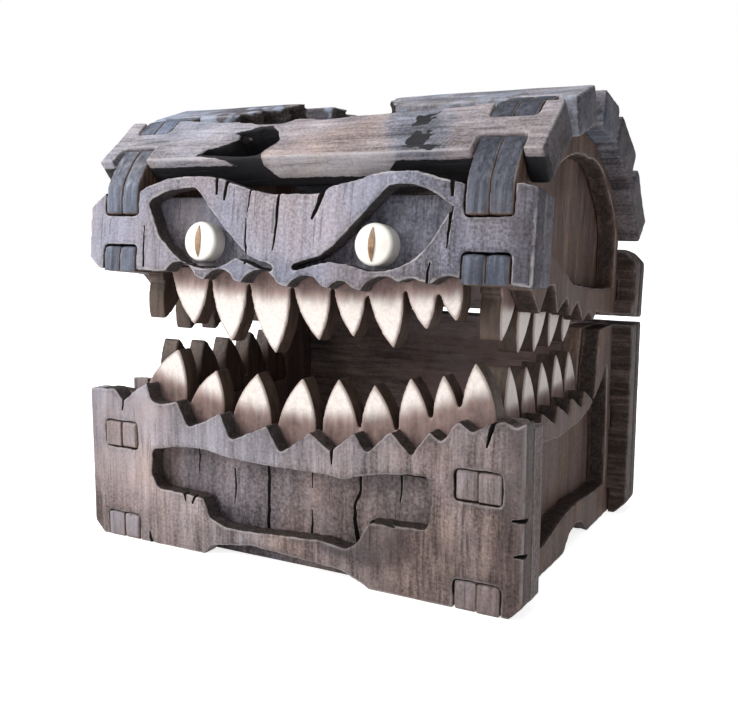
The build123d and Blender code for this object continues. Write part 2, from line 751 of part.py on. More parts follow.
def lid_side_point(point):
    return (deep(point[0]), above(point[1]))


def lid_wall_edge():
    """The lid wall's edge from its front tab up over the planks' seats and down the back."""
    one, two, three, four, five = (Stave(n) for n in range(5))
    inner = stave_thickness
    tab_low = above(lid_tab_low)
    tab_high = tab_low + tab_length
    rib_low = above(rib_slot_low)
    front = [
        (panel_thickness, tab_low),
        (0, tab_low),
        (0, tab_high),
        (panel_thickness, tab_high),
        (panel_thickness, rib_low),
        (0, rib_low),
    ]
    front += [lid_side_point(p) for p in RIB_NOSE]
    front += [one.at(rib_reach - fit, 2 * skin), one.at(rib_reach - fit, inner)]
    notch_low = one.length - tab_notch_low
    over = [
        one.at(notch_low + fit, inner),
        one.at(notch_low + fit, skin),
        one.at(one.length, skin),
        two.at(0, skin),
        two.at(tab_notch_high - fit, skin),
        two.at(tab_notch_high - fit, inner),
        two.at(two.length + fit, inner),
        two.at(two.length + fit, skin),
        three.at(-fit, skin),
        three.at(-fit, inner),
        three.at(three.length, inner),
        four.at(0, inner),
        four.at(four.length, inner),
        five.at(0, inner),
    ]
    drop = (five.at(0, inner)[0] + five.at(0, inner)[1] - back_front)
    back = [(back_front, drop)]
    back += [(back_front, tab_high), (chest_depth, tab_high), (chest_depth, tab_low)]
    back += [(back_front, tab_low), (back_front, lid_low), (deep(jaw), lid_low)]
    return front + over + back


def upper_side_feet():
    """Front and rear foot of each upper side tooth, with its tip."""
    teeth = []
    for y, h in UPPER_SIDE_TIPS:
        middle = y + UPPER_SIDE_LEAN
        front = lid_side_point((middle - upper_side_foot / 2, upper_side_root))
        rear = lid_side_point((middle + upper_side_foot / 2, upper_side_root))
        teeth.append((front, rear, lid_side_point((y, h))))
    return teeth


def lid_side_outer():
    rail = [lid_side_point(p) for p in LID_RAIL]
    face = outline(lid_wall_edge() + rail)
    recess = []
    for step in LID_SIDE_RECESS:
        if isinstance(step[0], tuple):
            recess.append(tuple(lid_side_point(p) for p in step))
        else:
            recess.append(lid_side_point(step))
    face -= outline(recess)
    return side_plate(face, wall_middle, ply)


def lid_side_inner():
    front, rear = side_row_ends()
    seat = above(upper_side_seat)
    foot = [(rear + fit, above(lid_rail_low)), (rear + fit, seat), (panel_thickness, seat)]
    return side_plate(outline(lid_wall_edge() + foot), wall_inner, ply)


def upper_side_teeth():
    front, rear = side_row_ends()
    strip = rectangle(front, above(upper_side_strip), rear, above(upper_side_seat))
    # The first tooth's foot stays behind the front panel, where the panel covers it.
    clear = block(0, -ply, 0, wall_outer, panel_thickness + fit, 3 * box_height)
    return side_plate(tooth_row(strip, upper_side_feet()), wall_inner, ply) - clear


# ---- lid: back ----------------------------------------------------------------
def lid_back_face():
    high = above(lid_back_top)
    face = outline([
        (-half_panel, lid_low),
        (half_panel, lid_low),
        (half_panel, high - corner),
        (half_panel - corner, high),
        (-half_panel + corner, high),
        (-half_panel, high - corner),
    ])
    return cut_all(face, slot_pair(above(lid_tab_low), above(lid_tab_low) + tab_length))


def lid_back_outer():
    return cut_all(facing_plate(lid_back_face(), chest_depth - ply, ply), screw_bores(1))


def lid_back_inner():
    return cut_all(facing_plate(lid_back_face(), back_front, ply), screw_bores(1))


# ---- hinges -------------------------------------------------------------------
def hinge_middles():
    return (-hinge_spread / 2, hinge_spread / 2)


def screw_places(side, middle):
    """(x, z) of one leaf's two screws; side is 1 on the lid and -1 on the box."""
    z = axis_z + side * (knuckle_diameter / 2 + leaf_width) / 2
    return [(middle - screw_pitch / 2, z), (middle + screw_pitch / 2, z)]


def along_y(x, z, radius, y0, y1):
    """A round bar from y0 to y1."""
    return Pos(x, (y0 + y1) / 2, z) * Rot(90, 0, 0) * Cylinder(radius, y1 - y0)


def screw_bores(side):
    bores = []
    for middle in hinge_middles():
        for x, z in screw_places(side, middle):
            tip = chest_depth + leaf_thickness - screw_length
            bores.append(along_y(x, z, screw_diameter / 2, tip, chest_depth + ply))
    return bores


def screw(x, z):
    outer = chest_depth + leaf_thickness
    shank = along_y(x, z, screw_diameter / 2, outer - screw_length, outer)
    head = Pos(x, outer, z) * Rot(90, 0, 0) * countersink()
    half = screw_slot_width / 2
    low = outer - screw_slot_depth
    slot = block(x - screw_head, low, z - half, x + screw_head, outer + ply, z + half)
    return shank + head - slot


def countersink():
    """The cone of a screw head, its flat top at the origin, pointing down its own axis."""
    cone = Cone(screw_head / 2, screw_diameter / 2, leaf_thickness)
    return Pos(0, 0, leaf_thickness / 2) * cone


def knuckle(x0, x1, bore):
    middle = Pos((x0 + x1) / 2, axis_y, axis_z) * Rot(0, 90, 0)
    return middle * Cylinder(knuckle_diameter / 2, x1 - x0), middle * Cylinder(bore, 2 * (x1 - x0))


def leaf(side, middle):
    """One leaf: the box's has the two outer knuckles, the lid's has the middle one."""
    half = hinge_length / 2
    third = hinge_length / 3
    near = axis_z + side * (knuckle_diameter / 2 + knuckle_gap)
    far = axis_z + side * leaf_width
    z0, z1 = sorted((near, far))
    outer = chest_depth + leaf_thickness
    plate = block(middle - half, chest_depth, z0, middle + half, outer, z1)
    if side < 0:
        spans = [(-half, -third / 2 - knuckle_gap / 2), (third / 2 + knuckle_gap / 2, half)]
        bore = pin_diameter / 2
    else:
        spans = [(-third / 2 + knuckle_gap / 2, third / 2 - knuckle_gap / 2)]
        bore = pin_diameter / 2 + pin_play
    for a, b in spans:
        bridge_low, bridge_high = sorted((axis_z, near))
        bridge = block(middle + a, chest_depth + wood_gap, bridge_low, middle + b, outer, bridge_high)
        barrel, hole = knuckle(middle + a, middle + b, bore)
        plate = plate + bridge + barrel - hole
    for x, z in screw_places(side, middle):
        plate -= along_y(x, z, screw_diameter / 2, back_front, outer + ply)
        plate -= Pos(x, outer, z) * Rot(90, 0, 0) * countersink()
    return plate


def hinge_pin(middle):
    length = hinge_length
    bar = Pos(middle, axis_y, axis_z) * Rot(0, 90, 0) * Cylinder(pin_diameter / 2, length)
    for side in (-1, 1):
        place = Pos(middle + side * (length + pin_head) / 2, axis_y, axis_z) * Rot(0, 90, 0)
        bar += place * Cylinder(pin_diameter / 2 + pin_head_lap, pin_head)
    return bar


def screws(side):
    shapes = []
    for middle in hinge_middles():
        for x, z in screw_places(side, middle):
            shapes.append(screw(x, z))
    return Compound([solid for shape in shapes for solid in shape.solids()])


# ---- assembly -----------------------------------------------------------------
def box_parts():
    left, right = hinge_middles()
    return {
        "box_front_outer": box_front_outer(),
        "box_front_inner": box_front_inner(),
        "lower_front_teeth": lower_front_teeth(),
        "box_side_outer_right": box_side_outer(),
        "box_side_inner_right": box_side_inner(),
        "lower_side_teeth_right": lower_side_teeth(),
        "box_side_outer_left": left_of(box_side_outer()),
        "box_side_inner_left": left_of(box_side_inner()),
        "lower_side_teeth_left": left_of(lower_side_teeth()),
        "box_back_outer": box_back_outer(),
        "box_back_inner": box_back_inner(),
        "box_floor": floor(),
        "hinge_box_leaf_left": leaf(-1, left),
        "hinge_box_leaf_right": leaf(-1, right),
        "hinge_pin_left": hinge_pin(left),
        "hinge_pin_right": hinge_pin(right),
        "hinge_screws_box": screws(-1),
    }


def lid_parts():
    left, right = hinge_middles()
    return {
        "lid_front_outer": lid_front_outer(),
        "lid_front_inner": lid_front_inner(),
        "upper_front_teeth": upper_front_teeth(),
        "lid_side_outer_right": lid_side_outer(),
        "lid_side_inner_right": lid_side_inner(),
        "upper_side_teeth_right": upper_side_teeth(),
        "lid_side_outer_left": left_of(lid_side_outer()),
        "lid_side_inner_left": left_of(lid_side_inner()),
        "upper_side_teeth_left": left_of(upper_side_teeth()),
        "lid_back_outer": lid_back_outer(),
        "lid_back_inner": lid_back_inner(),
        "stave_1": stave_1(),
        "stave_2_left": stave_2_left(),
        "stave_2_right": stave_2_right(),
        "stave_3_left": stave_3_left(),
        "stave_3_right": stave_3_right(),
        "stave_4": stave_4(),
        "stave_5": stave_5(),
        "eyeball_left": eyeball(eye_left),
        "eyeball_right": eyeball(eye_right),
        "pupil_left": pupil(eye_left),
        "pupil_right": pupil(eye_right),
        "hinge_lid_leaf_left": leaf(1, left),
        "hinge_lid_leaf_right": leaf(1, right),
        "hinge_screws_lid": screws(1),
    }


def ajar(shape):
    """Turn a lid part about the hinge pins from shut to where the lid stands at rest."""
    hinge = Axis((0, axis_y, axis_z), (-1, 0, 0))
    return shape.rotate(hinge, lid_ajar)


parts = box_parts()
for name, shape in lid_parts().items():
    parts[name] = ajar(shape)

# The origin goes under the middle of the whole chest's box.
whole = Compound([solid for shape in parts.values() for solid in shape.solids()]).bounding_box()
middle_y = (whole.min.Y + whole.max.Y) / 2
os.makedirs("parts", exist_ok=True)
for name, shape in parts.items():
    export_step(Pos(0, -middle_y, 0) * shape, f"parts/{name}.step")
print(f"hinge axis at y {axis_y - middle_y:.3f}, z {axis_z:.3f} mm; middle of the box {middle_y:.3f}")
print(f"size {whole.size.X:.2f} x {whole.size.Y:.2f} x {whole.size.Z:.2f} mm")
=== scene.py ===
"""The looks of a small toothed dice chest: worn, stained plywood, painted teeth and button eyes."""

import json
from math import cos, pi, radians, sin

import bmesh
import bpy
import numpy as np
from mathutils import Matrix, Vector


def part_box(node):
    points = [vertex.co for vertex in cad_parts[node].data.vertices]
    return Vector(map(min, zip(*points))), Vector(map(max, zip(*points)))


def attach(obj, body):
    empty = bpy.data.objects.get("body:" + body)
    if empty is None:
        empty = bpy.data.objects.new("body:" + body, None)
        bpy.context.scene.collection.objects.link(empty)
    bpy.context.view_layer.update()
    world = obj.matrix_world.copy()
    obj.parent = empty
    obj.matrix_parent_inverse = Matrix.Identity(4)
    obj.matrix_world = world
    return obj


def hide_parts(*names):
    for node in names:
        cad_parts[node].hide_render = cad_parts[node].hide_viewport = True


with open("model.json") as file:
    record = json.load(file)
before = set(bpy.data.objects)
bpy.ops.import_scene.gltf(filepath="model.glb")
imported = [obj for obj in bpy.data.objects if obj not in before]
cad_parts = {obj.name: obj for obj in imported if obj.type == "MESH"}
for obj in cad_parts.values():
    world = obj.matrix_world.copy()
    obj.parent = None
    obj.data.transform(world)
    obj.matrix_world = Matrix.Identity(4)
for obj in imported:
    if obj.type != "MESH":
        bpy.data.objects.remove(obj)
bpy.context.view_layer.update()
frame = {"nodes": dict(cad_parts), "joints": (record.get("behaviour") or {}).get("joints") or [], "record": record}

MM = 0.001
PLY = 5 * MM
LID_JOINT = frame["joints"][0]
HINGE = np.array(LID_JOINT["pos_m"], float)
AJAR = radians(6.4)             # how far the lid stands open at rest
BOX_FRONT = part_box("box_front_outer")[0].y
BOX_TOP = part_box("box_back_outer")[1].z
PANEL_HALF_WIDTH = 53.5 * MM    # a front panel's sawn outer edge begins here
TAB_ENDS = (0.0125, 0.0140)     # the side walls' tabs end between these, behind the box front
RIB_TOPS = (0.0372, 0.0385)     # and their ribs between these, above the box's top


# ---- camera, light and floor ----------------------------------------------------
AZIMUTH = radians(29.10)
ELEVATION = radians(8.20)
ROLL = radians(0.10)
FOCAL_PIXELS = 950.94
PHOTO_WIDTH = 738
SENSOR = 36.0
EYE = Vector((116.67, -169.34, 79.37)) * MM + Vector((0, BOX_FRONT, 0))


def make_camera():
    data = bpy.data.cameras.new("camera")
    data.sensor_fit = "HORIZONTAL"
    data.sensor_width = SENSOR
    data.lens = FOCAL_PIXELS * SENSOR / PHOTO_WIDTH
    data.clip_start = 0.005
    data.clip_end = 20
    camera = bpy.data.objects.new("camera", data)
    bpy.context.collection.objects.link(camera)
    back = Vector((sin(AZIMUTH) * cos(ELEVATION), -cos(AZIMUTH) * cos(ELEVATION), sin(ELEVATION)))
    right = Vector((cos(AZIMUTH), sin(AZIMUTH), 0))
    up = back.cross(right)
    turn = Matrix((right, up, back)).transposed().to_4x4()
    camera.matrix_world = Matrix.Translation(EYE) @ turn @ Matrix.Rotation(ROLL, 4, "Z")
    bpy.context.scene.camera = camera


def make_area(name, place, target, size, power, color):
    data = bpy.data.lights.new(name, "AREA")
    data.shape = "DISK"
    data.size = size
    data.energy = power
    data.color = color
    lamp = bpy.data.objects.new(name, data)
    bpy.context.collection.objects.link(lamp)
    lamp.location = place
    aim = Vector(target) - Vector(place)
    lamp.rotation_euler = aim.to_track_quat("-Z", "Y").to_euler()


def seen_directly(nodes, links, mix_input):
    """Camera, mirror and glass rays: the ones that see a plain white ground."""
    path = nodes.new("ShaderNodeLightPath")
    first = nodes.new("ShaderNodeMath")
    first.operation = "MAXIMUM"
    second = nodes.new("ShaderNodeMath")
    second.operation = "MAXIMUM"
    links.new(path.outputs["Is Camera Ray"], first.inputs[0])
    links.new(path.outputs["Is Glossy Ray"], first.inputs[1])
    links.new(first.outputs[0], second.inputs[0])
    links.new(path.outputs["Is Transmission Ray"], second.inputs[1])
    links.new(second.outputs[0], mix_input)


def make_world():
    world = bpy.data.worlds.new("studio")
    bpy.context.scene.world = world
    world.use_nodes = True
    nodes, links = world.node_tree.nodes, world.node_tree.links
    nodes.clear()
    out = nodes.new("ShaderNodeOutputWorld")
    soft = nodes.new("ShaderNodeBackground")
    soft.inputs["Color"].default_value = (0.93, 0.96, 1.0, 1)
    soft.inputs["Strength"].default_value = 0.36
    white = nodes.new("ShaderNodeBackground")
    white.inputs["Color"].default_value = (1, 1, 1, 1)
    white.inputs["Strength"].default_value = 1.0
    mix = nodes.new("ShaderNodeMixShader")
    path = nodes.new("ShaderNodeLightPath")
    links.new(path.outputs["Is Camera Ray"], mix.inputs[0])
    links.new(soft.outputs[0], mix.inputs[1])
    links.new(white.outputs[0], mix.inputs[2])
    links.new(mix.outputs[0], out.inputs[0])


def make_floor():
    """A white ground seen as pure white but for the soft shadow under the chest."""
    mesh = bpy.data.meshes.new("floor")
    half = 3.0
    corners = [(-half, -half, 0), (half, -half, 0), (half, half, 0), (-half, half, 0)]
    mesh.from_pydata(corners, [], [(0, 1, 2, 3)])
    floor = bpy.data.objects.new("floor", mesh)
    bpy.context.collection.objects.link(floor)
    material = bpy.data.materials.new("floor_white")
    material.use_nodes = True
    nodes, links = material.node_tree.nodes, material.node_tree.links
    nodes.clear()
    out = nodes.new("ShaderNodeOutputMaterial")
    ground = nodes.new("ShaderNodeBsdfDiffuse")
    ground.inputs["Color"].default_value = (0.86, 0.86, 0.86, 1)
    glow = nodes.new("ShaderNodeEmission")
    glow.inputs["Color"].default_value = (1, 1, 1, 1)
    place = nodes.new("ShaderNodeTexCoord")
    distance = nodes.new("ShaderNodeVectorMath")
    distance.operation = "LENGTH"
    fade = nodes.new("ShaderNodeMapRange")
    fade.inputs["From Min"].default_value = 0.07
    fade.inputs["From Max"].default_value = 0.16
    fade.inputs["To Min"].default_value = 0.78
    fade.inputs["To Max"].default_value = 1.0
    links.new(place.outputs["Object"], distance.inputs[0])
    links.new(distance.outputs["Value"], fade.inputs["Value"])
    links.new(fade.outputs["Result"], glow.inputs["Strength"])
    both = nodes.new("ShaderNodeAddShader")
    mix = nodes.new("ShaderNodeMixShader")
    links.new(ground.outputs[0], both.inputs[0])
    links.new(glow.outputs[0], both.inputs[1])
    links.new(ground.outputs[0], mix.inputs[1])
    links.new(both.outputs[0], mix.inputs[2])
    seen_directly(nodes, links, mix.inputs[0])
    links.new(mix.outputs[0], out.inputs[0])
    mesh.materials.append(material)


# ---- shader building ------------------------------------------------------------
class Shader:
    """A small helper that adds nodes to one material."""

    def __init__(self, name):
        self.material = bpy.data.materials.new(name)
        self.material.use_nodes = True
        self.nodes = self.material.node_tree.nodes
        self.links = self.material.node_tree.links
        self.bsdf = self.nodes["Principled BSDF"]

    def put(self, socket, value):
        if isinstance(value, bpy.types.NodeSocket):
            self.links.new(value, socket)
        else:
            socket.default_value = value

    def coords(self, turn=(0, 0, 0), scale=(1, 1, 1)):
        """Object coordinates, turned and stretched."""
        source = self.nodes.new("ShaderNodeTexCoord")
        first = self.nodes.new("ShaderNodeMapping")
        first.inputs["Rotation"].default_value = turn
        self.links.new(source.outputs["Object"], first.inputs["Vector"])
        second = self.nodes.new("ShaderNodeMapping")
        second.inputs["Scale"].default_value = scale
        self.links.new(first.outputs[0], second.inputs["Vector"])
        return second.outputs[0]

    def noise(self, vector, scale, detail=4.0, rough=0.55, twist=0.0):
        node = self.nodes.new("ShaderNodeTexNoise")
        self.links.new(vector, node.inputs["Vector"])
        node.inputs["Scale"].default_value = scale
        node.inputs["Detail"].default_value = detail
        node.inputs["Roughness"].default_value = rough
        node.inputs["Distortion"].default_value = twist
        return node.outputs["Fac"]

    def math(self, kind, a, b=0.0, clamp=False):
        node = self.nodes.new("ShaderNodeMath")
        node.operation = kind
        node.use_clamp = clamp
        self.put(node.inputs[0], a)
        self.put(node.inputs[1], b)
        return node.outputs[0]

    def plus(self, a, b, clamp=False):
        return self.math("ADD", a, b, clamp)

    def times(self, a, b):
        return self.math("MULTIPLY", a, b)

    def swing(self, noise, amount):
        """A noise of mean 0.5 as a value that swings about zero."""
        return self.times(self.math("SUBTRACT", noise, 0.5), amount)

    def span(self, value, low, high, to_low=0.0, to_high=1.0):
        """Value mapped smoothly from low..high to to_low..to_high."""
        node = self.nodes.new("ShaderNodeMapRange")
        node.interpolation_type = "SMOOTHSTEP"
        self.put(node.inputs["Value"], value)
        node.inputs["From Min"].default_value = low
        node.inputs["From Max"].default_value = high
        node.inputs["To Min"].default_value = to_low
        node.inputs["To Max"].default_value = to_high
        return node.outputs["Result"]

    def mix(self, factor, a, b, kind="MIX"):
        node = self.nodes.new("ShaderNodeMix")
        node.data_type = "RGBA"
        node.blend_type = kind
        self.put(node.inputs["Factor"], factor)
        self.put(node.inputs[6], a)
        self.put(node.inputs[7], b)
        return node.outputs[2]

    def ramp(self, value, stops):
        node = self.nodes.new("ShaderNodeValToRGB")
        self.put(node.inputs[0], value)
        ramp = node.color_ramp
        while len(ramp.elements) < len(stops):
            ramp.elements.new(0.5)
        for element, (place, color) in zip(ramp.elements, stops):
            element.position = place
            element.color = (*color, 1)
        return node.outputs["Color"]

    def channels(self, name):
        """The three channels of a colour attribute."""
        attribute = self.nodes.new("ShaderNodeAttribute")
        attribute.attribute_name = name
        split = self.nodes.new("ShaderNodeSeparateColor")
        self.links.new(attribute.outputs["Color"], split.inputs[0])
        return split.outputs[0], split.outputs[1], split.outputs[2]

    def bump(self, height, distance, strength=1.0, under=None):
        node = self.nodes.new("ShaderNodeBump")
        self.links.new(height, node.inputs["Height"])
        node.inputs["Distance"].default_value = distance
        node.inputs["Strength"].default_value = strength
        if under is not None:
            self.links.new(under, node.inputs["Normal"])
        return node.outputs["Normal"]


GRAIN_SCALE = {
    "x": (70, 900, 900),
    "y": (900, 70, 900),
    "z": (900, 900, 70),
}


def wood(name, grain, shades, pale=None, lean=0.0, streak=0.5):
    """Stained plywood: fine brushed grain, mottled stain, burnt cut edges and rubbed rims.

    grain is the axis that the grain runs along, shades its dark, middle and light colours, pale
    the same where the piece's paint is pale, lean the piece's turn about X, and streak the
    share of fine streaks in the grain. The attribute "wear_and_shade" holds burn, rub, and soot
    with painted shadow; "stain" holds warmth, darkness and paleness, the darkness partly painted
    shade.
    """
    s = Shader(name)
    turn = (lean, 0, 0)
    scale = GRAIN_SCALE[grain]
    even = s.coords(turn)
    streaks = s.noise(s.coords(turn, scale), 1.0, 5, 0.62, 0.25)
    wide = s.noise(s.coords(turn, tuple(v / 5 for v in scale)), 1.0, 3, 0.5, 0.4)
    pores = s.noise(s.coords(turn, tuple(v * 1.5 for v in scale)), 1.0, 2, 0.5)
    mottle = s.noise(even, 1500, 3, 0.6)
    ragged = s.noise(even, 520, 4, 0.65)
    clouds = s.noise(even, 130, 4, 0.6, 0.3)
    patches = s.noise(even, 42, 4, 0.55, 0.6)
    # The wear channels: burn, rub, and soot with painted shadow; the stain's darkness is partly painted shade.
    burn, rub, soot_and_shadow = s.channels("wear_and_shade")
    warmth, darkness, paleness = s.channels("stain")

    # The grain, in more contrast where the stain is dark and in less where it is pale.
    value = s.plus(s.times(streaks, streak), s.times(wide, 0.32))
    value = s.plus(value, s.times(mottle, 0.72 - streak))
    value = s.math("SUBTRACT", value, 0.52)
    contrast = s.math("MINIMUM", s.plus(0.85, s.times(darkness, 1.5)), 1.75)
    contrast = s.math("SUBTRACT", contrast, s.times(paleness, 0.5))
    value = s.plus(s.times(value, contrast), 0.5)
    places = (0.36, 0.5, 0.64)
    color = s.ramp(value, list(zip(places, shades)))
    if pale:
        color = s.mix(paleness, color, s.ramp(value, list(zip(places, pale))))

    # The stain's hue and depth, the depth partly painted shade, dark pores and rubbed rims.
    hue = s.plus(warmth, s.swing(patches, 1.8), True)
    tint = s.mix(hue, (0.90, 0.98, 1.14, 1), (1.10, 0.96, 0.88, 1))
    color = s.mix(1.0, color, tint, "MULTIPLY")
    shade = s.plus(darkness, s.swing(clouds, 0.9), True)
    depth = s.ramp(shade, [(0.0, (1.18, 1.18, 1.18)), (1.0, (0.25, 0.24, 0.25))])
    color = s.mix(1.0, color, depth, "MULTIPLY")
    in_pores = s.mix(1.0, color, (0.30, 0.27, 0.26, 1), "MULTIPLY")
    color = s.mix(s.span(pores, 0.60, 0.70, 0.0, 0.45), color, in_pores)
    rubbed = s.times(rub, s.span(clouds, 0.35, 0.6))
    color = s.mix(s.times(rubbed, 0.55), color, (0.66, 0.61, 0.60, 1))

    # Char on the burnt edges, and soot or ink on the faces, and painted shadow under the first plank's rim.
    charred = s.span(s.plus(burn, s.swing(ragged, 0.55)), 0.34, 0.78)
    char_color = s.ramp(mottle, [(0.35, (0.012, 0.009, 0.008)), (0.7, (0.055, 0.042, 0.036))])
    color = s.mix(s.times(charred, 0.93), color, char_color)
    soot_ink_and_shadow = s.span(s.plus(soot_and_shadow, s.swing(ragged, 1.1)), 0.40, 0.62)
    color = s.mix(soot_ink_and_shadow, color, (0.013, 0.012, 0.014, 1))

    s.put(s.bsdf.inputs["Base Color"], color)
    s.put(s.bsdf.inputs["Roughness"], s.span(streaks, 0.3, 0.7, 0.52, 0.76))
    s.bsdf.inputs["Specular IOR Level"].default_value = 0.20
    relief = s.plus(s.times(streaks, 0.7), s.times(mottle, 0.3))
    relief = s.math("SUBTRACT", relief, s.times(s.span(pores, 0.58, 0.7), 0.5))
    fine = s.bump(relief, 0.00025, 0.6)
    s.put(s.bsdf.inputs["Normal"], s.bump(ragged, 0.0003, 0.25, fine))
    return s.material


def char_material():
    """The soot-black walls of a crack."""
    s = Shader("crack_char")
    mottle = s.noise(s.coords(), 1600, 3, 0.6)
    color = s.ramp(mottle, [(0.3, (0.006, 0.005, 0.004)), (0.7, (0.022, 0.016, 0.013))])
    s.put(s.bsdf.inputs["Base Color"], color)
    s.bsdf.inputs["Roughness"].default_value = 0.85
    s.put(s.bsdf.inputs["Normal"], s.bump(mottle, 0.0001, 0.4))
    return s.material


def tooth_paint():
    """Cream paint that lets the stained wood show at the root, painted shade near the tooth edges, and bare dark
    cut sides.
    """
    s = Shader("tooth_paint")
    even = s.coords()
    streaks = s.noise(s.coords((0, 0, 0), (650, 650, 110)), 1.0, 4, 0.6, 0.2)
    mottle = s.noise(even, 1300, 3, 0.6)
    smear = s.noise(even, 260, 3, 0.6, 0.5)
    # The third channel is painted shade near the tooth edges.
    painted, root, shaded = s.channels("wear_and_shade")
    cream = s.ramp(mottle, [
        (0.3, (0.74, 0.64, 0.59)), (0.5, (0.83, 0.75, 0.70)), (0.75, (0.89, 0.83, 0.78)),
    ])
    stain = s.ramp(smear, [
        (0.3, (0.12, 0.078, 0.068)), (0.55, (0.30, 0.195, 0.175)), (0.8, (0.48, 0.33, 0.30)),
    ])
    gum = s.ramp(mottle, [(0.35, (0.045, 0.030, 0.026)), (0.65, (0.20, 0.135, 0.12))])
    side = s.ramp(streaks, [(0.3, (0.030, 0.018, 0.013)), (0.7, (0.115, 0.072, 0.052))])

    reach = s.plus(s.plus(root, s.swing(smear, 0.5)), s.swing(streaks, 0.6))
    color = s.mix(s.span(reach, 0.10, 1.0), cream, stain)
    color = s.mix(s.span(reach, 0.80, 1.30), color, gum)
    # Painted shade, pinkish brown, near the tooth edges.
    color = s.mix(s.span(shaded, 0.05, 0.75, 0.0, 0.72), color, (0.33, 0.235, 0.21, 1))
    cover = s.plus(painted, s.swing(smear, 0.5))
    color = s.mix(s.span(cover, 0.22, 0.62), side, color)
    s.put(s.bsdf.inputs["Base Color"], color)
    s.put(s.bsdf.inputs["Roughness"], s.span(mottle, 0.3, 0.7, 0.46, 0.66))
    s.bsdf.inputs["Specular IOR Level"].default_value = 0.4
    relief = s.plus(s.times(streaks, 0.6), s.times(mottle, 0.4))
    s.put(s.bsdf.inputs["Normal"], s.bump(relief, 0.00015, 0.5))
    return s.material


def eye_paint():
    s = Shader("eye_cream")
    even = s.coords()
    mottle = s.noise(even, 420, 3, 0.6)
    speck = s.noise(even, 2400, 2, 0.5)
    color = s.ramp(mottle, [(0.3, (0.82, 0.77, 0.70)), (0.7, (0.90, 0.865, 0.81))])
    s.put(s.bsdf.inputs["Base Color"], color)
    s.put(s.bsdf.inputs["Roughness"], s.span(mottle, 0.3, 0.7, 0.34, 0.46))
    s.put(s.bsdf.inputs["Normal"], s.bump(speck, 0.00006, 0.4))
    return s.material


def pupil_paint():
    s = Shader("pupil_amber")
    even = s.coords((0, 0, 0), (1, 1, 0.35))
    mottle = s.noise(even, 900, 3, 0.6)
    color = s.ramp(mottle, [
        (0.3, (0.10, 0.045, 0.018)), (0.5, (0.27, 0.145, 0.06)), (0.7, (0.42, 0.26, 0.12)),
    ])
    s.put(s.bsdf.inputs["Base Color"], color)
    s.put(s.bsdf.inputs["Roughness"], s.span(mottle, 0.3, 0.7, 0.3, 0.5))
    s.put(s.bsdf.inputs["Normal"], s.bump(mottle, 0.0001, 0.4))
    return s.material


def brass():
    s = Shader("old_brass")
    even = s.coords()
    brushed = s.noise(s.coords((0, 0, 0), (300, 2600, 2600)), 1.0, 4, 0.6)
    tarnish = s.noise(even, 420, 4, 0.6, 0.4)
    bright = s.ramp(brushed, [(0.3, (0.34, 0.245, 0.115)), (0.7, (0.50, 0.385, 0.20))])
    color = s.mix(s.span(tarnish, 0.46, 0.68), bright, (0.16, 0.105, 0.05, 1))
    s.put(s.bsdf.inputs["Base Color"], color)
    s.bsdf.inputs["Metallic"].default_value = 1.0
    s.put(s.bsdf.inputs["Roughness"], s.span(tarnish, 0.35, 0.7, 0.28, 0.56))
    s.put(s.bsdf.inputs["Normal"], s.bump(brushed, 0.00004, 0.5))
    return s.material


# ---- worn copies of the plywood pieces -------------------------------------------
def unevenness(points, seed, wavelength):
    """A smooth wandering value in -1..1 at each point, from a few plain waves."""
    rng = np.random.default_rng(seed)
    total = np.zeros(len(points))
    for _ in range(10):
        direction = rng.normal(size=3)
        direction /= np.linalg.norm(direction)
        length = wavelength * rng.uniform(0.6, 1.7)
        total += np.sin(points @ direction * (2 * pi / length) + rng.uniform(0, 2 * pi))
    return np.clip(total / 4.0, -1, 1)


def step(value, low, high):
    t = np.clip((value - low) / (high - low), 0, 1)
    return t * t * (3 - 2 * t)


def shut(points):
    """Points of the lid at rest, turned back to where they are with the lid shut."""
    rel = points - HINGE
    c, s = cos(AJAR), sin(AJAR)
    y = rel[:, 1] * c - rel[:, 2] * s
    z = rel[:, 1] * s + rel[:, 2] * c
    return np.stack([rel[:, 0], y, z], 1) + HINGE


def ajar(points):
    """The other way: places with the lid shut, turned to where they are at rest."""
    rel = points - HINGE
    c, s = cos(AJAR), sin(AJAR)
    y = rel[:, 1] * c + rel[:, 2] * s
    z = -rel[:, 1] * s + rel[:, 2] * c
    return np.stack([rel[:, 0], y, z], 1) + HINGE


def shut_directions(normals):
    c, s = cos(AJAR), sin(AJAR)
    y = normals[:, 1] * c - normals[:, 2] * s
    z = normals[:, 1] * s + normals[:, 2] * c
    return np.stack([normals[:, 0], y, z], 1)


def read_mesh(mesh):
    count = len(mesh.vertices)
    places = np.empty(count * 3)
    mesh.vertices.foreach_get("co", places)
    normals = np.empty(count * 3)
    mesh.vertices.foreach_get("normal", normals)
    return places.reshape(-1, 3), normals.reshape(-1, 3)


def sanded_copy(node, voxel, rounds):
    """A copy of a CAD node whose edges are rubbed round, fine enough to carry dents and char."""
    mesh = frame["nodes"][node].data.copy()
    shape = bmesh.new()
    shape.from_mesh(mesh)
    bmesh.ops.remove_doubles(shape, verts=shape.verts, dist=1e-6)
    shape.to_mesh(mesh)
    shape.free()
    rough = bpy.data.objects.new("rough", mesh)
    bpy.context.collection.objects.link(rough)
    remesh = rough.modifiers.new("voxels", "REMESH")
    remesh.mode = "VOXEL"
    remesh.voxel_size = voxel * MM
    remesh.use_smooth_shade = True
    smooth = rough.modifiers.new("sanded", "SMOOTH")
    smooth.factor = 0.5
    smooth.iterations = rounds
    depsgraph = bpy.context.evaluated_depsgraph_get()
    finished = bpy.data.meshes.new_from_object(rough.evaluated_get(depsgraph))
    bpy.data.objects.remove(rough)
    return finished


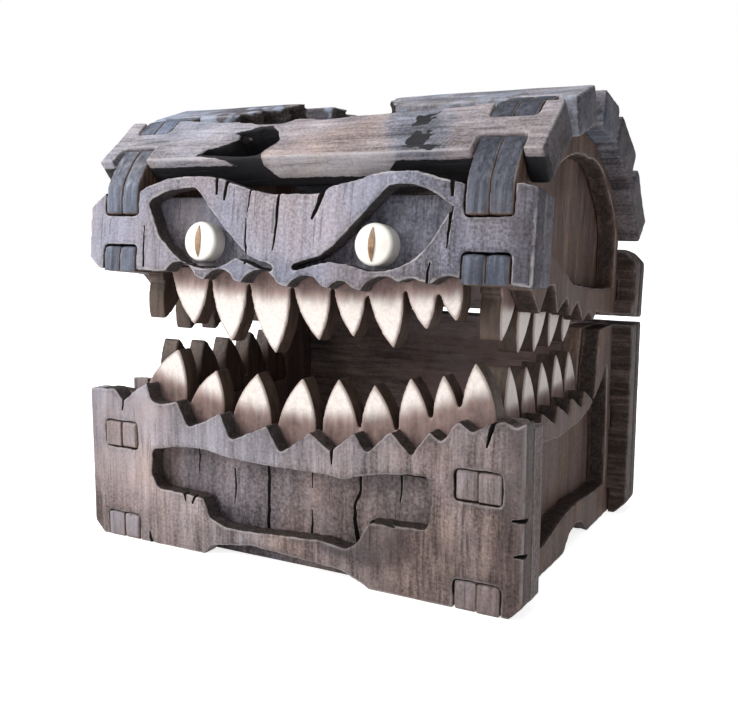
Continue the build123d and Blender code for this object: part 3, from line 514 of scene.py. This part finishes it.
def hand_cut(line, rng):
    """A crack's line with wandering points put between its own: each is x, z, width in mm."""
    points = [line[0]]
    for a, b in zip(line, line[1:]):
        length = ((a[0] - b[0]) ** 2 + (a[1] - b[1]) ** 2) ** 0.5
        count = max(1, round(length / 1.6))
        for i in range(1, count + 1):
            t = i / count
            wander = 0.0 if i == count else rng.uniform(-0.16, 0.16)
            nx, nz = (b[1] - a[1]) / length, (a[0] - b[0]) / length
            width = (a[2] + (b[2] - a[2]) * t) * rng.uniform(0.8, 1.2)
            points.append((
                a[0] + (b[0] - a[0]) * t + nx * wander,
                a[1] + (b[1] - a[1]) * t + nz * wander,
                width,
            ))
    return points


def crack_cutter(lines, front, depth, body, seed, material):
    """One mesh of thin wedges that cut cracks into a face at Y = front."""
    rng = np.random.default_rng(seed)
    verts, faces = [], []
    for line in lines:
        points = hand_cut(line, rng)
        first = len(verts)
        for i, (x, z, width) in enumerate(points):
            a = points[max(i - 1, 0)]
            b = points[min(i + 1, len(points) - 1)]
            length = ((a[0] - b[0]) ** 2 + (a[1] - b[1]) ** 2) ** 0.5
            nx, nz = (b[1] - a[1]) / length, (a[0] - b[0]) / length
            for y, share in ((front - 1.2 * MM, 0.5), (front + depth * MM, 0.16)):
                for half in (-width * share, width * share):
                    verts.append(((x + nx * half) * MM, y, (z + nz * half) * MM))
        for i in range(len(points) - 1):
            p, q = first + 4 * i, first + 4 * i + 4
            for a, b in ((0, 1), (1, 3), (3, 2), (2, 0)):
                faces.append((p + a, p + b, q + b, q + a))
        last = first + 4 * (len(points) - 1)
        faces.append((first + 2, first + 3, first + 1, first))
        faces.append((last, last + 1, last + 3, last + 2))
    places = np.array(verts)
    if body == "lid":
        places = ajar(places)
    mesh = bpy.data.meshes.new("crack_cutter")
    mesh.from_pydata([tuple(v) for v in places], [], faces)
    mesh.materials.append(material)
    shape = bmesh.new()
    shape.from_mesh(mesh)
    bmesh.ops.recalc_face_normals(shape, faces=shape.faces)
    shape.to_mesh(mesh)
    shape.free()
    return mesh


def cut_cracks(mesh, lines, front, depth, body, seed, wood_material):
    """The mesh with the cracks cut into it, their walls in black char."""
    cutter = bpy.data.objects.new(
        "cutter", crack_cutter(lines, front, depth, body, seed, crack_char))
    board = bpy.data.objects.new("board", mesh)
    mesh.materials.clear()
    mesh.materials.append(wood_material)
    mesh.materials.append(crack_char)
    for item in (cutter, board):
        bpy.context.collection.objects.link(item)
    cut = board.modifiers.new("cracks", "BOOLEAN")
    cut.operation = "DIFFERENCE"
    cut.solver = "EXACT"
    cut.object = cutter
    cut.material_mode = "TRANSFER"
    depsgraph = bpy.context.evaluated_depsgraph_get()
    finished = bpy.data.meshes.new_from_object(board.evaluated_get(depsgraph))
    bpy.data.objects.remove(cutter)
    bpy.data.objects.remove(board)
    return finished


def add_piece(name, mesh, body, node, material):
    mesh.name = name
    if len(mesh.materials) < 2:
        mesh.materials.clear()
        mesh.materials.append(material)
    piece = bpy.data.objects.new(name, mesh)
    bpy.context.collection.objects.link(piece)
    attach(piece, body)
    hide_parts(node)
    return piece


def paint(mesh, name, red, green, blue):
    """Write three 0..1 values per vertex as a colour attribute that the shaders read."""
    attribute = mesh.color_attributes.new(name, "FLOAT_COLOR", "POINT")
    values = np.ones((len(mesh.vertices), 4), np.float32)
    values[:, 0] = np.clip(red, 0, 1)
    values[:, 1] = np.clip(green, 0, 1)
    values[:, 2] = np.clip(blue, 0, 1)
    attribute.data.foreach_set("color", values.ravel())


def spread(mesh, values, rounds):
    """The values after each vertex has taken its neighbours' mean a number of times."""
    count = len(mesh.vertices)
    ends = np.empty(2 * len(mesh.edges), np.int64)
    mesh.edges.foreach_get("vertices", ends)
    a, b = ends[0::2], ends[1::2]
    degree = np.maximum(np.bincount(a, minlength=count) + np.bincount(b, minlength=count), 1)
    for _ in range(rounds):
        total = np.bincount(a, values[b], count) + np.bincount(b, values[a], count)
        values = 0.3 * values + 0.7 * total / degree
    return values


def inside(x, y, corners, soft):
    """1 inside a polygon and 0 beyond `soft` outside it, for points x, y."""
    away = np.full(len(x), 1e9)
    within = np.zeros(len(x), bool)
    for (ax, ay), (bx, by) in zip(corners, corners[1:] + corners[:1]):
        dx, dy = bx - ax, by - ay
        t = np.clip(((x - ax) * dx + (y - ay) * dy) / (dx * dx + dy * dy), 0, 1)
        away = np.minimum(away, np.hypot(x - ax - t * dx, y - ay - t * dy))
        if dy:
            crosses = (ay > y) != (by > y)
            within ^= crosses & (x < ax + (y - ay) * dx / dy)
    signed = np.where(within, -away, away)
    return 1 - step(signed, -soft / 2, soft)


def dent(mesh, places, normals, depth, seed, burn):
    """Push the surface inward by a wandering depth, and more where it is charred."""
    low = (unevenness(places, seed, 0.016) + 1) / 2
    ragged = (unevenness(places, seed + 1, 0.0026) + 1) / 2
    inward = depth * low + 0.35 * MM * ragged * burn
    moved = places - normals * inward[:, None]
    mesh.vertices.foreach_set("co", moved.ravel())
    mesh.update()


def lid_or_box(node):
    return "lid" if node in frame["record"]["behaviour"]["bodies"]["lid"] else "box"


def read_shut(mesh, body):
    """A mesh's places and normals, and both again as they are with the lid shut."""
    places, normals = read_mesh(mesh)
    if body == "lid":
        return places, normals, shut(places), shut_directions(normals)
    return places, normals, places, normals


def plain_stain(places, normals):
    nothing = np.zeros(len(places))
    return nothing + 0.5, nothing, nothing


def no_soot_nor_shadow(places, normals):
    return np.zeros(len(places))


def worn_board(node, material, facing, burn_map, seed, voxel=0.5, rounds=8, depth=0.10,
               stain=plain_stain, soot_and_shadow=no_soot_nor_shadow, rub=0.6, cracks=(), crack_depth=1.3):
    """One board: facing is its broad face's direction with the lid shut, outward.

    stain gives warmth, darkness and paleness, the darkness partly painted shade, soot_and_shadow
    blackness from soot and painted shadow, and burn_map char, all from places and directions
    with the lid shut. voxel, depth and crack_depth are in mm.
    """
    body = lid_or_box(node)
    mesh = sanded_copy(node, voxel, rounds)
    if cracks:
        front = BOX_FRONT + (PLY if node.endswith("inner") else 0)
        mesh = cut_cracks(mesh, cracks, front, crack_depth, body, seed, material)
    places, normals, still, upright = read_shut(mesh, body)
    along = upright @ np.array(facing, float)
    burn = (1 - np.abs(along)) * burn_map(still, upright)
    rim = step(along, 0.45, 0.75) * (1 - step(along, 0.93, 0.995))
    warmth, darkness, paleness = stain(still, upright)
    # Smoke spreads from a burnt edge over the face as darkness that is also painted shade near the edges, and char
    # a little way.
    darkness = darkness + 1.2 * spread(mesh, burn, rounds=12) * step(along, 0.7, 0.95)
    burn = np.maximum(burn, 1.1 * spread(mesh, burn, rounds=2))
    paint(mesh, "wear_and_shade", burn, rim * rub, soot_and_shadow(still, upright))
    paint(mesh, "stain", warmth, darkness, paleness)
    dent(mesh, places, normals, depth * MM, seed, burn)
    return add_piece("worn_" + node, mesh, body, node, material)


# ---- where the boards are burnt and stained, and painted light and shade -----------
def behind_tabs(places):
    return step(places[:, 1] - BOX_FRONT, *TAB_ENDS)


def above_ribs(places):
    return step(places[:, 2] - BOX_TOP, *RIB_TOPS)


def end_grain(normals, low=0.3, high=0.8):
    """1 where a board's surface faces left or right."""
    return step(np.abs(normals[:, 0]), low, high)


def inner_edges(strength, low):
    """A panel's cut edges, charred except at its sawn sides and below the height `low`."""
    soft = 0.001

    def value(places, normals):
        within = step(PANEL_HALF_WIDTH - np.abs(places[:, 0]), -soft, soft)
        within *= step(places[:, 2], low - soft, low + soft)
        return strength * (0.25 + 0.75 * within)
    return value


def wall_edges(strength):
    """A side wall's cut edges, but not its tab ends and ribs at the very front."""
    def value(places, normals):
        return strength * behind_tabs(places) * (1 - above_ribs(places))
    return value


def everywhere(strength):
    def value(places, normals):
        return np.full(len(places), strength)
    return value


# The stains below, partly painted light and shade, name zones of a board: x and z or the height h above the box's
# top, in metres.
def front_stain_and_shade(places, normals):
    """Cool grey at the left and along the gum, brown and darker towards the lower right, that darkening partly
    painted shade, and painted shade at the foot on the left.
    """
    x, z = places[:, 0], places[:, 2]
    right = step(x, -0.015, 0.036)
    left = 1 - right
    low = 1 - step(z, 0.006, 0.026)
    foot = 1 - step(z, 0.005, 0.017)
    gum = step(z, 0.020, 0.031)
    edge = step(x, 0.0490, 0.0545)
    smoke = inside(x / MM, z / MM, SMOKED, 4)
    wander = 0.12 * unevenness(places, 5, 0.03)
    warmth = 0.34 + 0.46 * right + 0.30 * low - 0.75 * gum * (1 - 0.7 * right)
    # Darker to the right, at the right edge and low down: partly stain, partly painted shade; the foot at the left
    # is painted shade.
    darkness = 0.03 + (0.62 - 0.26 * gum) * right + 0.20 * gum * step(x, -0.045, -0.015) * left
    darkness += 0.10 * low * right + 0.48 * foot * left + 0.60 * smoke + 0.45 * edge
    smooth = np.maximum(gum * (1 - 0.5 * right), 0.6 * (1 - step(x, -0.050, -0.020)))
    return warmth - 0.5 * smoke + wander, darkness + 0.8 * wander, np.maximum(smooth, smoke)


def recess_stain_and_shade(places, normals):
    """The planks in the recess: painted shade, darkest at the lower left, and a little darker to the right."""
    x = places[:, 0]
    low = (1 - step(places[:, 2], 0.007, 0.016)) * (1 - step(x, -0.020, 0.000))
    wander = 0.15 * unevenness(places, 6, 0.03)
    # Painted shade: low at the left, and a little on the right.
    darkness = 0.10 + 0.1 * step(x, 0.0, 0.03) + 0.85 * low + wander
    return 0.45 + 0.15 * step(x, -0.01, 0.03) + wander, darkness, 0 * x


def brow_stain_and_shade(places, normals):
    """Lilac grey at the left, a brown middle between the eyes, and dark blue-grey at the right, that darkening
    partly painted shade, with painted shade along the low rim.
    """
    x, h = places[:, 0], places[:, 2] - BOX_TOP
    right = step(x, 0.018, 0.044)
    middle = step(x, -0.016, -0.006) * (1 - step(x, 0.010, 0.024))
    low = 1 - step(h, 0.006, 0.011)
    edge = step(x, 0.0485, 0.0545)
    wander = 0.12 * unevenness(places, 7, 0.025)
    warmth = 0.28 + 0.34 * middle * (1 - low) - 0.1 * right + wander
    # Painted shade: partly the darkening at the right, and the low rim left of the middle.
    darkness = 0.04 + 0.60 * right + 0.30 * low * step(x, -0.03, 0.0) * (1 - right) + 0.4 * edge
    return warmth, darkness + wander, np.maximum(low, 0.5 * (1 - middle))


def socket_stain_and_shading(places, normals):
    """Behind the eyes: painted light at the outer corner of the left one, and painted shade behind the right one.
    """
    x, h = places[:, 0], places[:, 2] - BOX_TOP
    corner = (1 - step(x, -0.034, -0.016)) * step(h, 0.010, 0.022)
    wander = 0.12 * unevenness(places, 10, 0.02)
    # Painted light at the left socket's outer corner, painted shade in the right socket.
    darkness = 0.28 + 0.12 * step(x, -0.01, 0.01) - 0.36 * corner + wander
    return 0.3 + wander, darkness, 0.5 + 0 * x


def wall_stain_and_shade(darkness=0.0):
    """Side walls: pale where their tabs and ribs face forward out of the front panel, and darker to the right,
    partly painted shade.
    """
    def value(places, normals):
        x, h = places[:, 0], places[:, 2] - BOX_TOP
        forward = step(normals[:, 2] - normals[:, 1], 0.2, 0.7) * (1 - end_grain(normals, 0.45))
        pale = forward * np.maximum(1 - behind_tabs(places), above_ribs(places))
        # Darker to the right: partly painted shade.
        right = step(x, -0.02, 0.04)
        wander = 0.12 * unevenness(places, 8, 0.03)
        warmth = 0.75 - 0.5 * pale + 0.35 * right * pale * (h < 0) + wander
        front = 0.15 + 0.3 * right + (0.25 + 0.17 * right) * (h > 0)
        return warmth, darkness * (1 - pale) + front * pale + wander, pale
    return value


def back_stain(places, normals):
    edge = end_grain(normals)
    return 0.6 + 0.4 * edge, 0.15 + 0.80 * edge, 0 * edge


def inner_back_stain(places, normals):
    """Lighter inside the chest than where the panel stands out past the side walls."""
    outside = np.maximum(end_grain(normals), step(np.abs(places[:, 0]), 0.0485, 0.0515))
    paleness = (1 - outside) * step(places[:, 0], -0.035, 0.025)
    return 0.6 + 0.4 * outside, 0.15 + 0.65 * outside, paleness


# Each wood's grain and its dark, middle and light colours.
woods = {
    "front": wood(
        "wood_front", "z", ((0.115, 0.092, 0.086), (0.30, 0.25, 0.24), (0.47, 0.41, 0.395)),
        streak=0.42),
    "recess": wood(
        "wood_recess", "z", ((0.060, 0.047, 0.044), (0.165, 0.135, 0.132), (0.30, 0.25, 0.245)),
        streak=0.28),
    "side": wood(
        "wood_side", "z", ((0.040, 0.028, 0.023), (0.115, 0.082, 0.069), (0.21, 0.160, 0.138)),
        ((0.11, 0.088, 0.082), (0.28, 0.235, 0.225), (0.45, 0.39, 0.375)), streak=0.45),
    "back": wood(
        "wood_back", "z", ((0.055, 0.041, 0.034), (0.14, 0.108, 0.094), (0.26, 0.205, 0.18)),
        streak=0.45),
    "inside": wood(
        "wood_inside", "x", ((0.055, 0.041, 0.034), (0.14, 0.108, 0.094), (0.26, 0.205, 0.18)),
        ((0.17, 0.13, 0.125), (0.34, 0.265, 0.255), (0.48, 0.385, 0.37)), streak=0.5),
    "floor": wood(
        "wood_floor", "x", ((0.13, 0.097, 0.092), (0.29, 0.222, 0.214), (0.42, 0.335, 0.32)),
        streak=0.5),
    "brow": wood(
        "wood_brow", "z", ((0.105, 0.094, 0.100), (0.27, 0.248, 0.268), (0.44, 0.415, 0.445)),
        lean=AJAR, streak=0.27),
    "socket": wood(
        "wood_socket", "z", ((0.055, 0.05, 0.053), (0.145, 0.135, 0.148), (0.27, 0.255, 0.275)),
        lean=AJAR, streak=0.30),
    "stave": wood(
        "wood_stave", "x", ((0.13, 0.112, 0.110), (0.30, 0.268, 0.268), (0.46, 0.42, 0.42)),
        ((0.16, 0.18, 0.21), (0.36, 0.40, 0.46), (0.60, 0.64, 0.69)), lean=AJAR, streak=0.40),
    "rib": wood(
        "wood_rib", "z", ((0.038, 0.025, 0.021), (0.10, 0.069, 0.056), (0.19, 0.138, 0.116)),
        ((0.060, 0.064, 0.075), (0.16, 0.17, 0.198), (0.32, 0.34, 0.38)), lean=AJAR, streak=0.56),
}

make_world()
make_floor()
make_camera()
make_area("key", (-0.31, -0.36, 0.28), (0, 0, 0.05), 0.32, 2.05, (1.0, 0.99, 0.97))
make_area("sky", (-0.15, -0.10, 0.80), (0, 0, 0.06), 0.80, 3.8, (0.93, 0.96, 1.0))
make_area("fill", (0.45, -0.80, 0.20), (0, 0, 0.05), 0.70, 1.1, (1.0, 0.97, 0.93))

FRONT = (0, -1, 0)
BACK = (0, 1, 0)
RIGHT = (1, 0, 0)
LEFT = (-1, 0, 0)

# Cracks: points of x, z and width in mm, seen from the front with the lid shut.
PANEL_CRACKS = [
    [(-28.4, 15.2, 1.4), (-27.2, 12.2, 0.4)],
    [(-24.4, 15.0, 1.3), (-25.3, 11.9, 0.4)],
    [(50.2, 41.4, 1.5), (49.6, 38.0, 1.1), (48.7, 34.4, 0.4)],
    [(-46.1, 36.4, 1.1), (-46.5, 32.2, 0.3)],
    [(12.9, 31.0, 1.2), (13.3, 26.4, 0.4)],
    [(58.5, 20.9, 1.9), (54.2, 20.4, 0.5)],
    [(58.5, 13.6, 1.7), (54.8, 13.2, 0.5)],
    [(-37.6, -1.5, 2.2), (-38.8, 2.9, 0.5)],
    [(28.6, 14.9, 0.5), (24.0, 16.0, 0.9), (21.2, 14.2, 0.5)],
]
PLANK_LINES = [
    [(-26.7, 27.0, 0.8), (-26.9, 17.5, 0.3)],
    [(-16.3, 20.4, 0.3), (-16.2, 16.0, 0.6), (-16.6, 11.8, 0.3)],
    [(-6.5, 27.0, 1.2), (-6.7, 15.0, 1.1), (-7.0, 4.0, 1.2)],
    [(5.1, 27.0, 0.9), (5.2, 18.8, 0.3)],
    [(5.0, 13.6, 0.3), (5.1, 4.0, 0.9)],
    [(17.6, 27.0, 0.9), (17.6, 20.0, 1.0), (16.1, 16.2, 0.9), (16.3, 12.0, 1.3), (17.6, 5.0, 1.5)],
    [(27.4, 29.0, 0.8), (27.6, 22.0, 0.6), (27.3, 18.8, 0.3)],
]
LID_CRACKS = [
    [(-18.7, 79.8, 1.3), (-18.6, 73.9, 0.9)],
    [(-15.6, 79.0, 1.5), (-16.4, 72.6, 0.8)],
    [(-9.2, 76.6, 0.9), (-9.9, 70.0, 0.3)],
    [(-10.1, 68.6, 0.3), (-9.9, 58.6, 0.7)],
    [(-1.7, 75.6, 1.0), (-2.0, 68.0, 0.8), (-2.8, 61.6, 0.3)],
    [(9.6, 76.0, 2.4), (8.6, 72.0, 1.8), (7.0, 68.5, 0.6)],
    [(-39.6, 66.8, 0.3), (-39.3, 57.2, 0.7)],
    [(38.9, 78.0, 1.3), (39.2, 73.2, 0.7)],
    [(39.2, 71.0, 1.1), (39.0, 67.0, 0.7), (38.7, 63.0, 0.3)],
    [(35.3, 60.0, 0.3), (34.4, 54.8, 1.0)],
]
# Smoke on the front under the recess, as points of x and z in mm.
SMOKED = [(11.0, 8.0), (17.0, 13.0), (28.5, 14.5), (30.5, 10.5), (24.0, 7.0)]
crack_char = char_material()

# The box.
worn_board("box_front_outer", woods["front"], FRONT, inner_edges(1.0, 0.003), 11,
           voxel=0.45, rounds=10, depth=0.12, stain=front_stain_and_shade,
           cracks=PANEL_CRACKS, crack_depth=1.8)
worn_board("box_front_inner", woods["recess"], FRONT, inner_edges(0.6, 0.003), 13,
           rounds=6, stain=recess_stain_and_shade, cracks=PLANK_LINES)
worn_board("box_back_outer", woods["back"], BACK, everywhere(0.2), 15,
           voxel=0.55, rounds=10, depth=0.12, stain=back_stain, rub=0.25)
worn_board("box_back_inner", woods["inside"], FRONT, everywhere(0.2), 17,
           voxel=0.6, rounds=6, depth=0.05, stain=inner_back_stain)
for side, facing in (("left", LEFT), ("right", RIGHT)):
    worn_board(f"box_side_outer_{side}", woods["side"], facing, wall_edges(0.75), 21,
               rounds=9, stain=wall_stain_and_shade())
    worn_board(f"box_side_inner_{side}", woods["side"], facing, wall_edges(0.35), 23,
               voxel=0.55, rounds=6, depth=0.05, stain=wall_stain_and_shade())

# The lid.
worn_board("lid_front_outer", woods["brow"], FRONT, inner_edges(1.0, 0.0), 31,
           voxel=0.45, rounds=10, depth=0.12, stain=brow_stain_and_shade, rub=1.0, cracks=LID_CRACKS)
worn_board("lid_front_inner", woods["socket"], FRONT, everywhere(0.4), 33,
           stain=socket_stain_and_shading)
worn_board("lid_back_outer", woods["back"], BACK, everywhere(0.2), 35,
           voxel=0.55, rounds=10, depth=0.12, stain=back_stain, rub=0.25)
worn_board("lid_back_inner", woods["inside"], FRONT, everywhere(0.2), 37,
           voxel=0.6, rounds=6, depth=0.05, stain=inner_back_stain)
for side, facing in (("left", LEFT), ("right", RIGHT)):
    for layer, slot in (("outer", "wood_lid"), ("inner", "wood_dark")):
        worn_board(f"lid_side_{layer}_{side}", woods["rib"], facing, wall_edges(0.6), 41,
                   stain=wall_stain_and_shade(0.12))


# ---- the lid's planks -----------------------------------------------------------------
# Scorched areas of the first plank, as points across it and along its outer face, in mm.
BURNT_PATCH = [
    (-26.7, 1.3), (-25.2, 3.2), (-21.4, 4.6), (-17.7, 7.1), (-16.4, 7.8), (-20.3, 9.7),
    (-16.9, 10.6), (-14.6, 11.7), (-11.3, 11.8), (-6.5, 5.2), (-9.0, 2.4), (-8.5, -1.4),
    (-9.1, -4.3), (-13.1, -6.7), (-14.1, -3.0), (-18.9, -0.5), (-23.1, 0.8),
]
FLAKED_LOW = [
    (26.2, 1.9), (26.9, 4.6), (27.0, 6.0), (27.6, 7.4), (29.3, 6.6), (32.3, 6.0), (30.3, 4.1),
    (29.9, 2.7), (33.8, 1.8), (35.0, 1.0), (29.5, 1.0),
]
FLAKED_HIGH = [
    (25.6, 9.8), (25.5, 11.6), (26.7, 13.3), (30.5, 13.7), (28.8, 11.7), (28.7, 9.5), (26.9, 9.3),
]
BLUE_PATCH = [(20.6, 9.8), (19.4, 17.4), (29.0, 17.3), (32.6, 10.6), (35.4, 0.0), (27.4, 0.4)]
PINK_PATCH = [
    (-9.5, 2.4), (-0.6, 5.6), (8.2, 8.8), (16.8, 11.9), (21.5, 0.7), (18.0, -5.0), (-6.7, -5.1),
]


SCORCH_SPOT = (26.2, -4.1)


class PlankPlace:
    """Where a lid plank lies: its outer face's foot in y and z, in mm, and its pitch.

    The foot is measured from the box's front and top, with the lid shut.
    """

    def __init__(self, foot, pitch):
        self.foot = foot
        self.pitch = radians(pitch)
        self.facing = (0, -sin(self.pitch), cos(self.pitch))

    def at(self, places):
        """Where points lie across the plank, along its outer face and inward from that."""
        y = (places[:, 1] - BOX_FRONT) / MM - self.foot[0]
        h = (places[:, 2] - BOX_TOP) / MM - self.foot[1]
        along = y * cos(self.pitch) + h * sin(self.pitch)
        inward = y * sin(self.pitch) - h * cos(self.pitch)
        return places[:, 0] / MM, along, inward


FIRST_PLANK = PlankPlace((1.5, 31.2), 45.0)
SECOND_PLANK = PlankPlace((20.3, 45.1), 22.0)
THIRD_PLANK = PlankPlace((41.6, 51.1), -5.5)
FOURTH_PLANK = PlankPlace((57.4, 48.6), -24.4)
FIFTH_PLANK = PlankPlace((75.3, 38.5), -45.0)


def plank_stain_and_shade(places, normals):
    """Smooth and pale at the left, greyer and darker to the right, partly painted shade, with dark end grain."""
    x = places[:, 0]
    ends = end_grain(normals, 0.5, 0.85) * step(np.abs(x), 0.050, 0.055)
    # The darkening to the right is partly painted shade.
    right = step(x, 0.0, 0.05)
    left = 1 - step(x, -0.030, -0.005)
    rear = step(places[:, 1] - BOX_FRONT, 0.036, 0.046)
    wander = 0.15 * unevenness(places, 9, 0.03)
    warmth = 0.42 + 0.15 * right - 0.12 * left - 0.10 * rear + wander
    return warmth, 0.06 + 0.22 * right + 0.16 * left + 0.50 * rear + 0.9 * ends + wander, 0 * x


def torn_plank_stain_and_shade(places, normals):
    """The broken planks: dark, with ragged remains of pale blue-grey paint."""
    warmth, darkness, _ = plank_stain_and_shade(places, normals)
    ragged = unevenness(places, 81, 0.011) + 0.7 * unevenness(places, 82, 0.0035)
    paint_left = step(ragged, 0.25, 0.75)
    x = places[:, 0]
    middle = (1 - step(np.abs(x), 0.030, 0.052)) * (1 - 0.7 * step(x, -0.005, 0.005))
    bare = (1 - paint_left) * middle
    return warmth - 0.15, darkness + 0.55 * bare, 0.35 + 0.5 * paint_left - 0.3 * bare


def first_plank_stain_and_shading(places, normals):
    """The whole plank: a pink middle, a blue-grey patch, smoke round the hole, and a painted highlight on its
    front edge face.
    """
    warmth, darkness, _ = plank_stain_and_shade(places, normals)
    left = 1 - step(places[:, 0], -0.030, -0.010)
    x, along, inward = FIRST_PLANK.at(places)
    seen = along - inward
    pink = inside(x, seen, PINK_PATCH, 6)
    x = x + 1.6 * unevenness(places, 83, 0.004)
    seen = seen + 1.6 * unevenness(places, 84, 0.005)
    blue = inside(x, seen, BLUE_PATCH, 4)
    smoke = inside(x, seen, BURNT_PATCH, 9) * (1 - left)
    middle = step(x, -11.0, -7.0) * (1 - step(x, 23.0, 27.0))
    # Painted highlight: the middle of the front edge face, facing forward and down, made pale and lighter.
    rim = middle * step(-(normals[:, 1] + normals[:, 2]) / 2 ** 0.5, 0.3, 0.9)
    warmth = warmth + 0.5 * pink - 0.5 * blue + 0.4 * rim
    darkness = darkness + 0.04 * pink + 0.38 * blue + 0.22 * smoke - 0.4 * rim
    return warmth, darkness, np.maximum(0.30 * left + 0.15 * blue, 0.5 * rim)


def first_plank_soot_and_shadow(places, normals):
    """Scorched patches, and painted shadow on the front edge where it lies in shade under the plank's rim."""
    x, along, inward = FIRST_PLANK.at(places)
    seen = along - inward
    black = inside(x, seen, BURNT_PATCH, 1.2)
    torn_x = x + 0.7 * unevenness(places, 85, 0.0022)
    torn_seen = seen + 0.9 * unevenness(places, 86, 0.0024)
    for flake in (FLAKED_LOW, FLAKED_HIGH):
        black = np.maximum(black, inside(torn_x, torn_seen, flake, 0.8))
    away = np.hypot(x - SCORCH_SPOT[0], seen - SCORCH_SPOT[1])
    black = np.maximum(black, 0.8 * (1 - step(away, 1.4, 2.6)))
    middle = step(x, -9.0, -5.0) * (1 - step(x, 21.0, 25.0))
    # Painted shadow on the front edge under the plank's rim.
    under = step(inward - 2.3 - 3.6 * middle, -0.4, 0.6) * (1 - step(along, 1.0, 2.5))
    return np.maximum(black, 0.95 * under)


def plank_edges(places, normals):
    """The broken ends are charred; the sawn ends and long edges only greyed."""
    broken = step(0.034 - np.abs(places[:, 0]), 0.0, 0.004)
    return 0.30 + 0.75 * broken * end_grain(normals, 0.1, 0.4)


def plank(node, place, seed, stain=plank_stain_and_shade, soot_and_shadow=no_soot_nor_shadow):
    worn_board(node, woods["stave"], place.facing, plank_edges, seed,
               voxel=0.55, rounds=12, depth=0.22, stain=stain, soot_and_shadow=soot_and_shadow)


plank("stave_1", FIRST_PLANK, 51, first_plank_stain_and_shading, first_plank_soot_and_shadow)
plank("stave_2_left", SECOND_PLANK, 53, torn_plank_stain_and_shade)
plank("stave_2_right", SECOND_PLANK, 55, torn_plank_stain_and_shade)
plank("stave_3_left", THIRD_PLANK, 57, torn_plank_stain_and_shade)
plank("stave_3_right", THIRD_PLANK, 59, torn_plank_stain_and_shade)
plank("stave_4", FOURTH_PLANK, 61)
plank("stave_5", FIFTH_PLANK, 63)


# ---- teeth ----------------------------------------------------------------------
tooth_material = tooth_paint()


def tooth_strip(node, facing, gum, reach, upward):
    """A painted tooth strip: gum is the height of its roots over X, reach the stain's length."""
    body = lid_or_box(node)
    mesh = sanded_copy(node, 0.4, 5)
    places, normals, still, upright = read_shut(mesh, body)
    outward = upright @ np.array(facing, float)
    rise = (still[:, 2] - gum(still[:, 0])) * (1 if upward else -1)
    root = 1 - step(rise, 0.0, reach)
    painted = step(outward, 0.05, 0.75)
    # The third channel is painted shade, spread in from the tooth edges.
    paint(mesh, "wear_and_shade", painted, root, 2.4 * spread(mesh, 1 - painted, rounds=8))
    dent(mesh, places, normals, 0.06 * MM, 71, np.zeros(len(places)))
    add_piece("worn_" + node, mesh, body, node, tooth_material)


def gum_line(middle, rise):
    """A gum line's height over X: `middle` in mm, and rising to both sides."""
    return lambda x: (middle + rise * x * x) * MM


tooth_strip("lower_front_teeth", FRONT, gum_line(32.5, 4200), 0.0065, True)
tooth_strip("upper_front_teeth", FRONT, gum_line(54.2, 1500), 0.0060, False)
for side, facing in (("left", LEFT), ("right", RIGHT)):
    tooth_strip(f"lower_side_teeth_{side}", facing, gum_line(37.5, 0), 0.004, True)
    tooth_strip(f"upper_side_teeth_{side}", facing, gum_line(53.5, 0), 0.004, False)


# ---- eyes, floor board and metal --------------------------------------------------
def dress(node, material):
    cad = frame["nodes"][node]
    cad.data.materials.clear()
    cad.data.materials.append(material)
    return cad


eye_material, pupil_material, metal = eye_paint(), pupil_paint(), brass()
for side in ("left", "right"):
    dress(f"eyeball_{side}", eye_material)
    dress(f"pupil_{side}", pupil_material)
    for node in (f"hinge_box_leaf_{side}", f"hinge_lid_leaf_{side}", f"hinge_pin_{side}"):
        dress(node, metal)
for node in ("hinge_screws_box", "hinge_screws_lid"):
    dress(node, metal)
dress("box_floor", woods["floor"])

bpy.context.scene.view_settings.view_transform = "Standard"
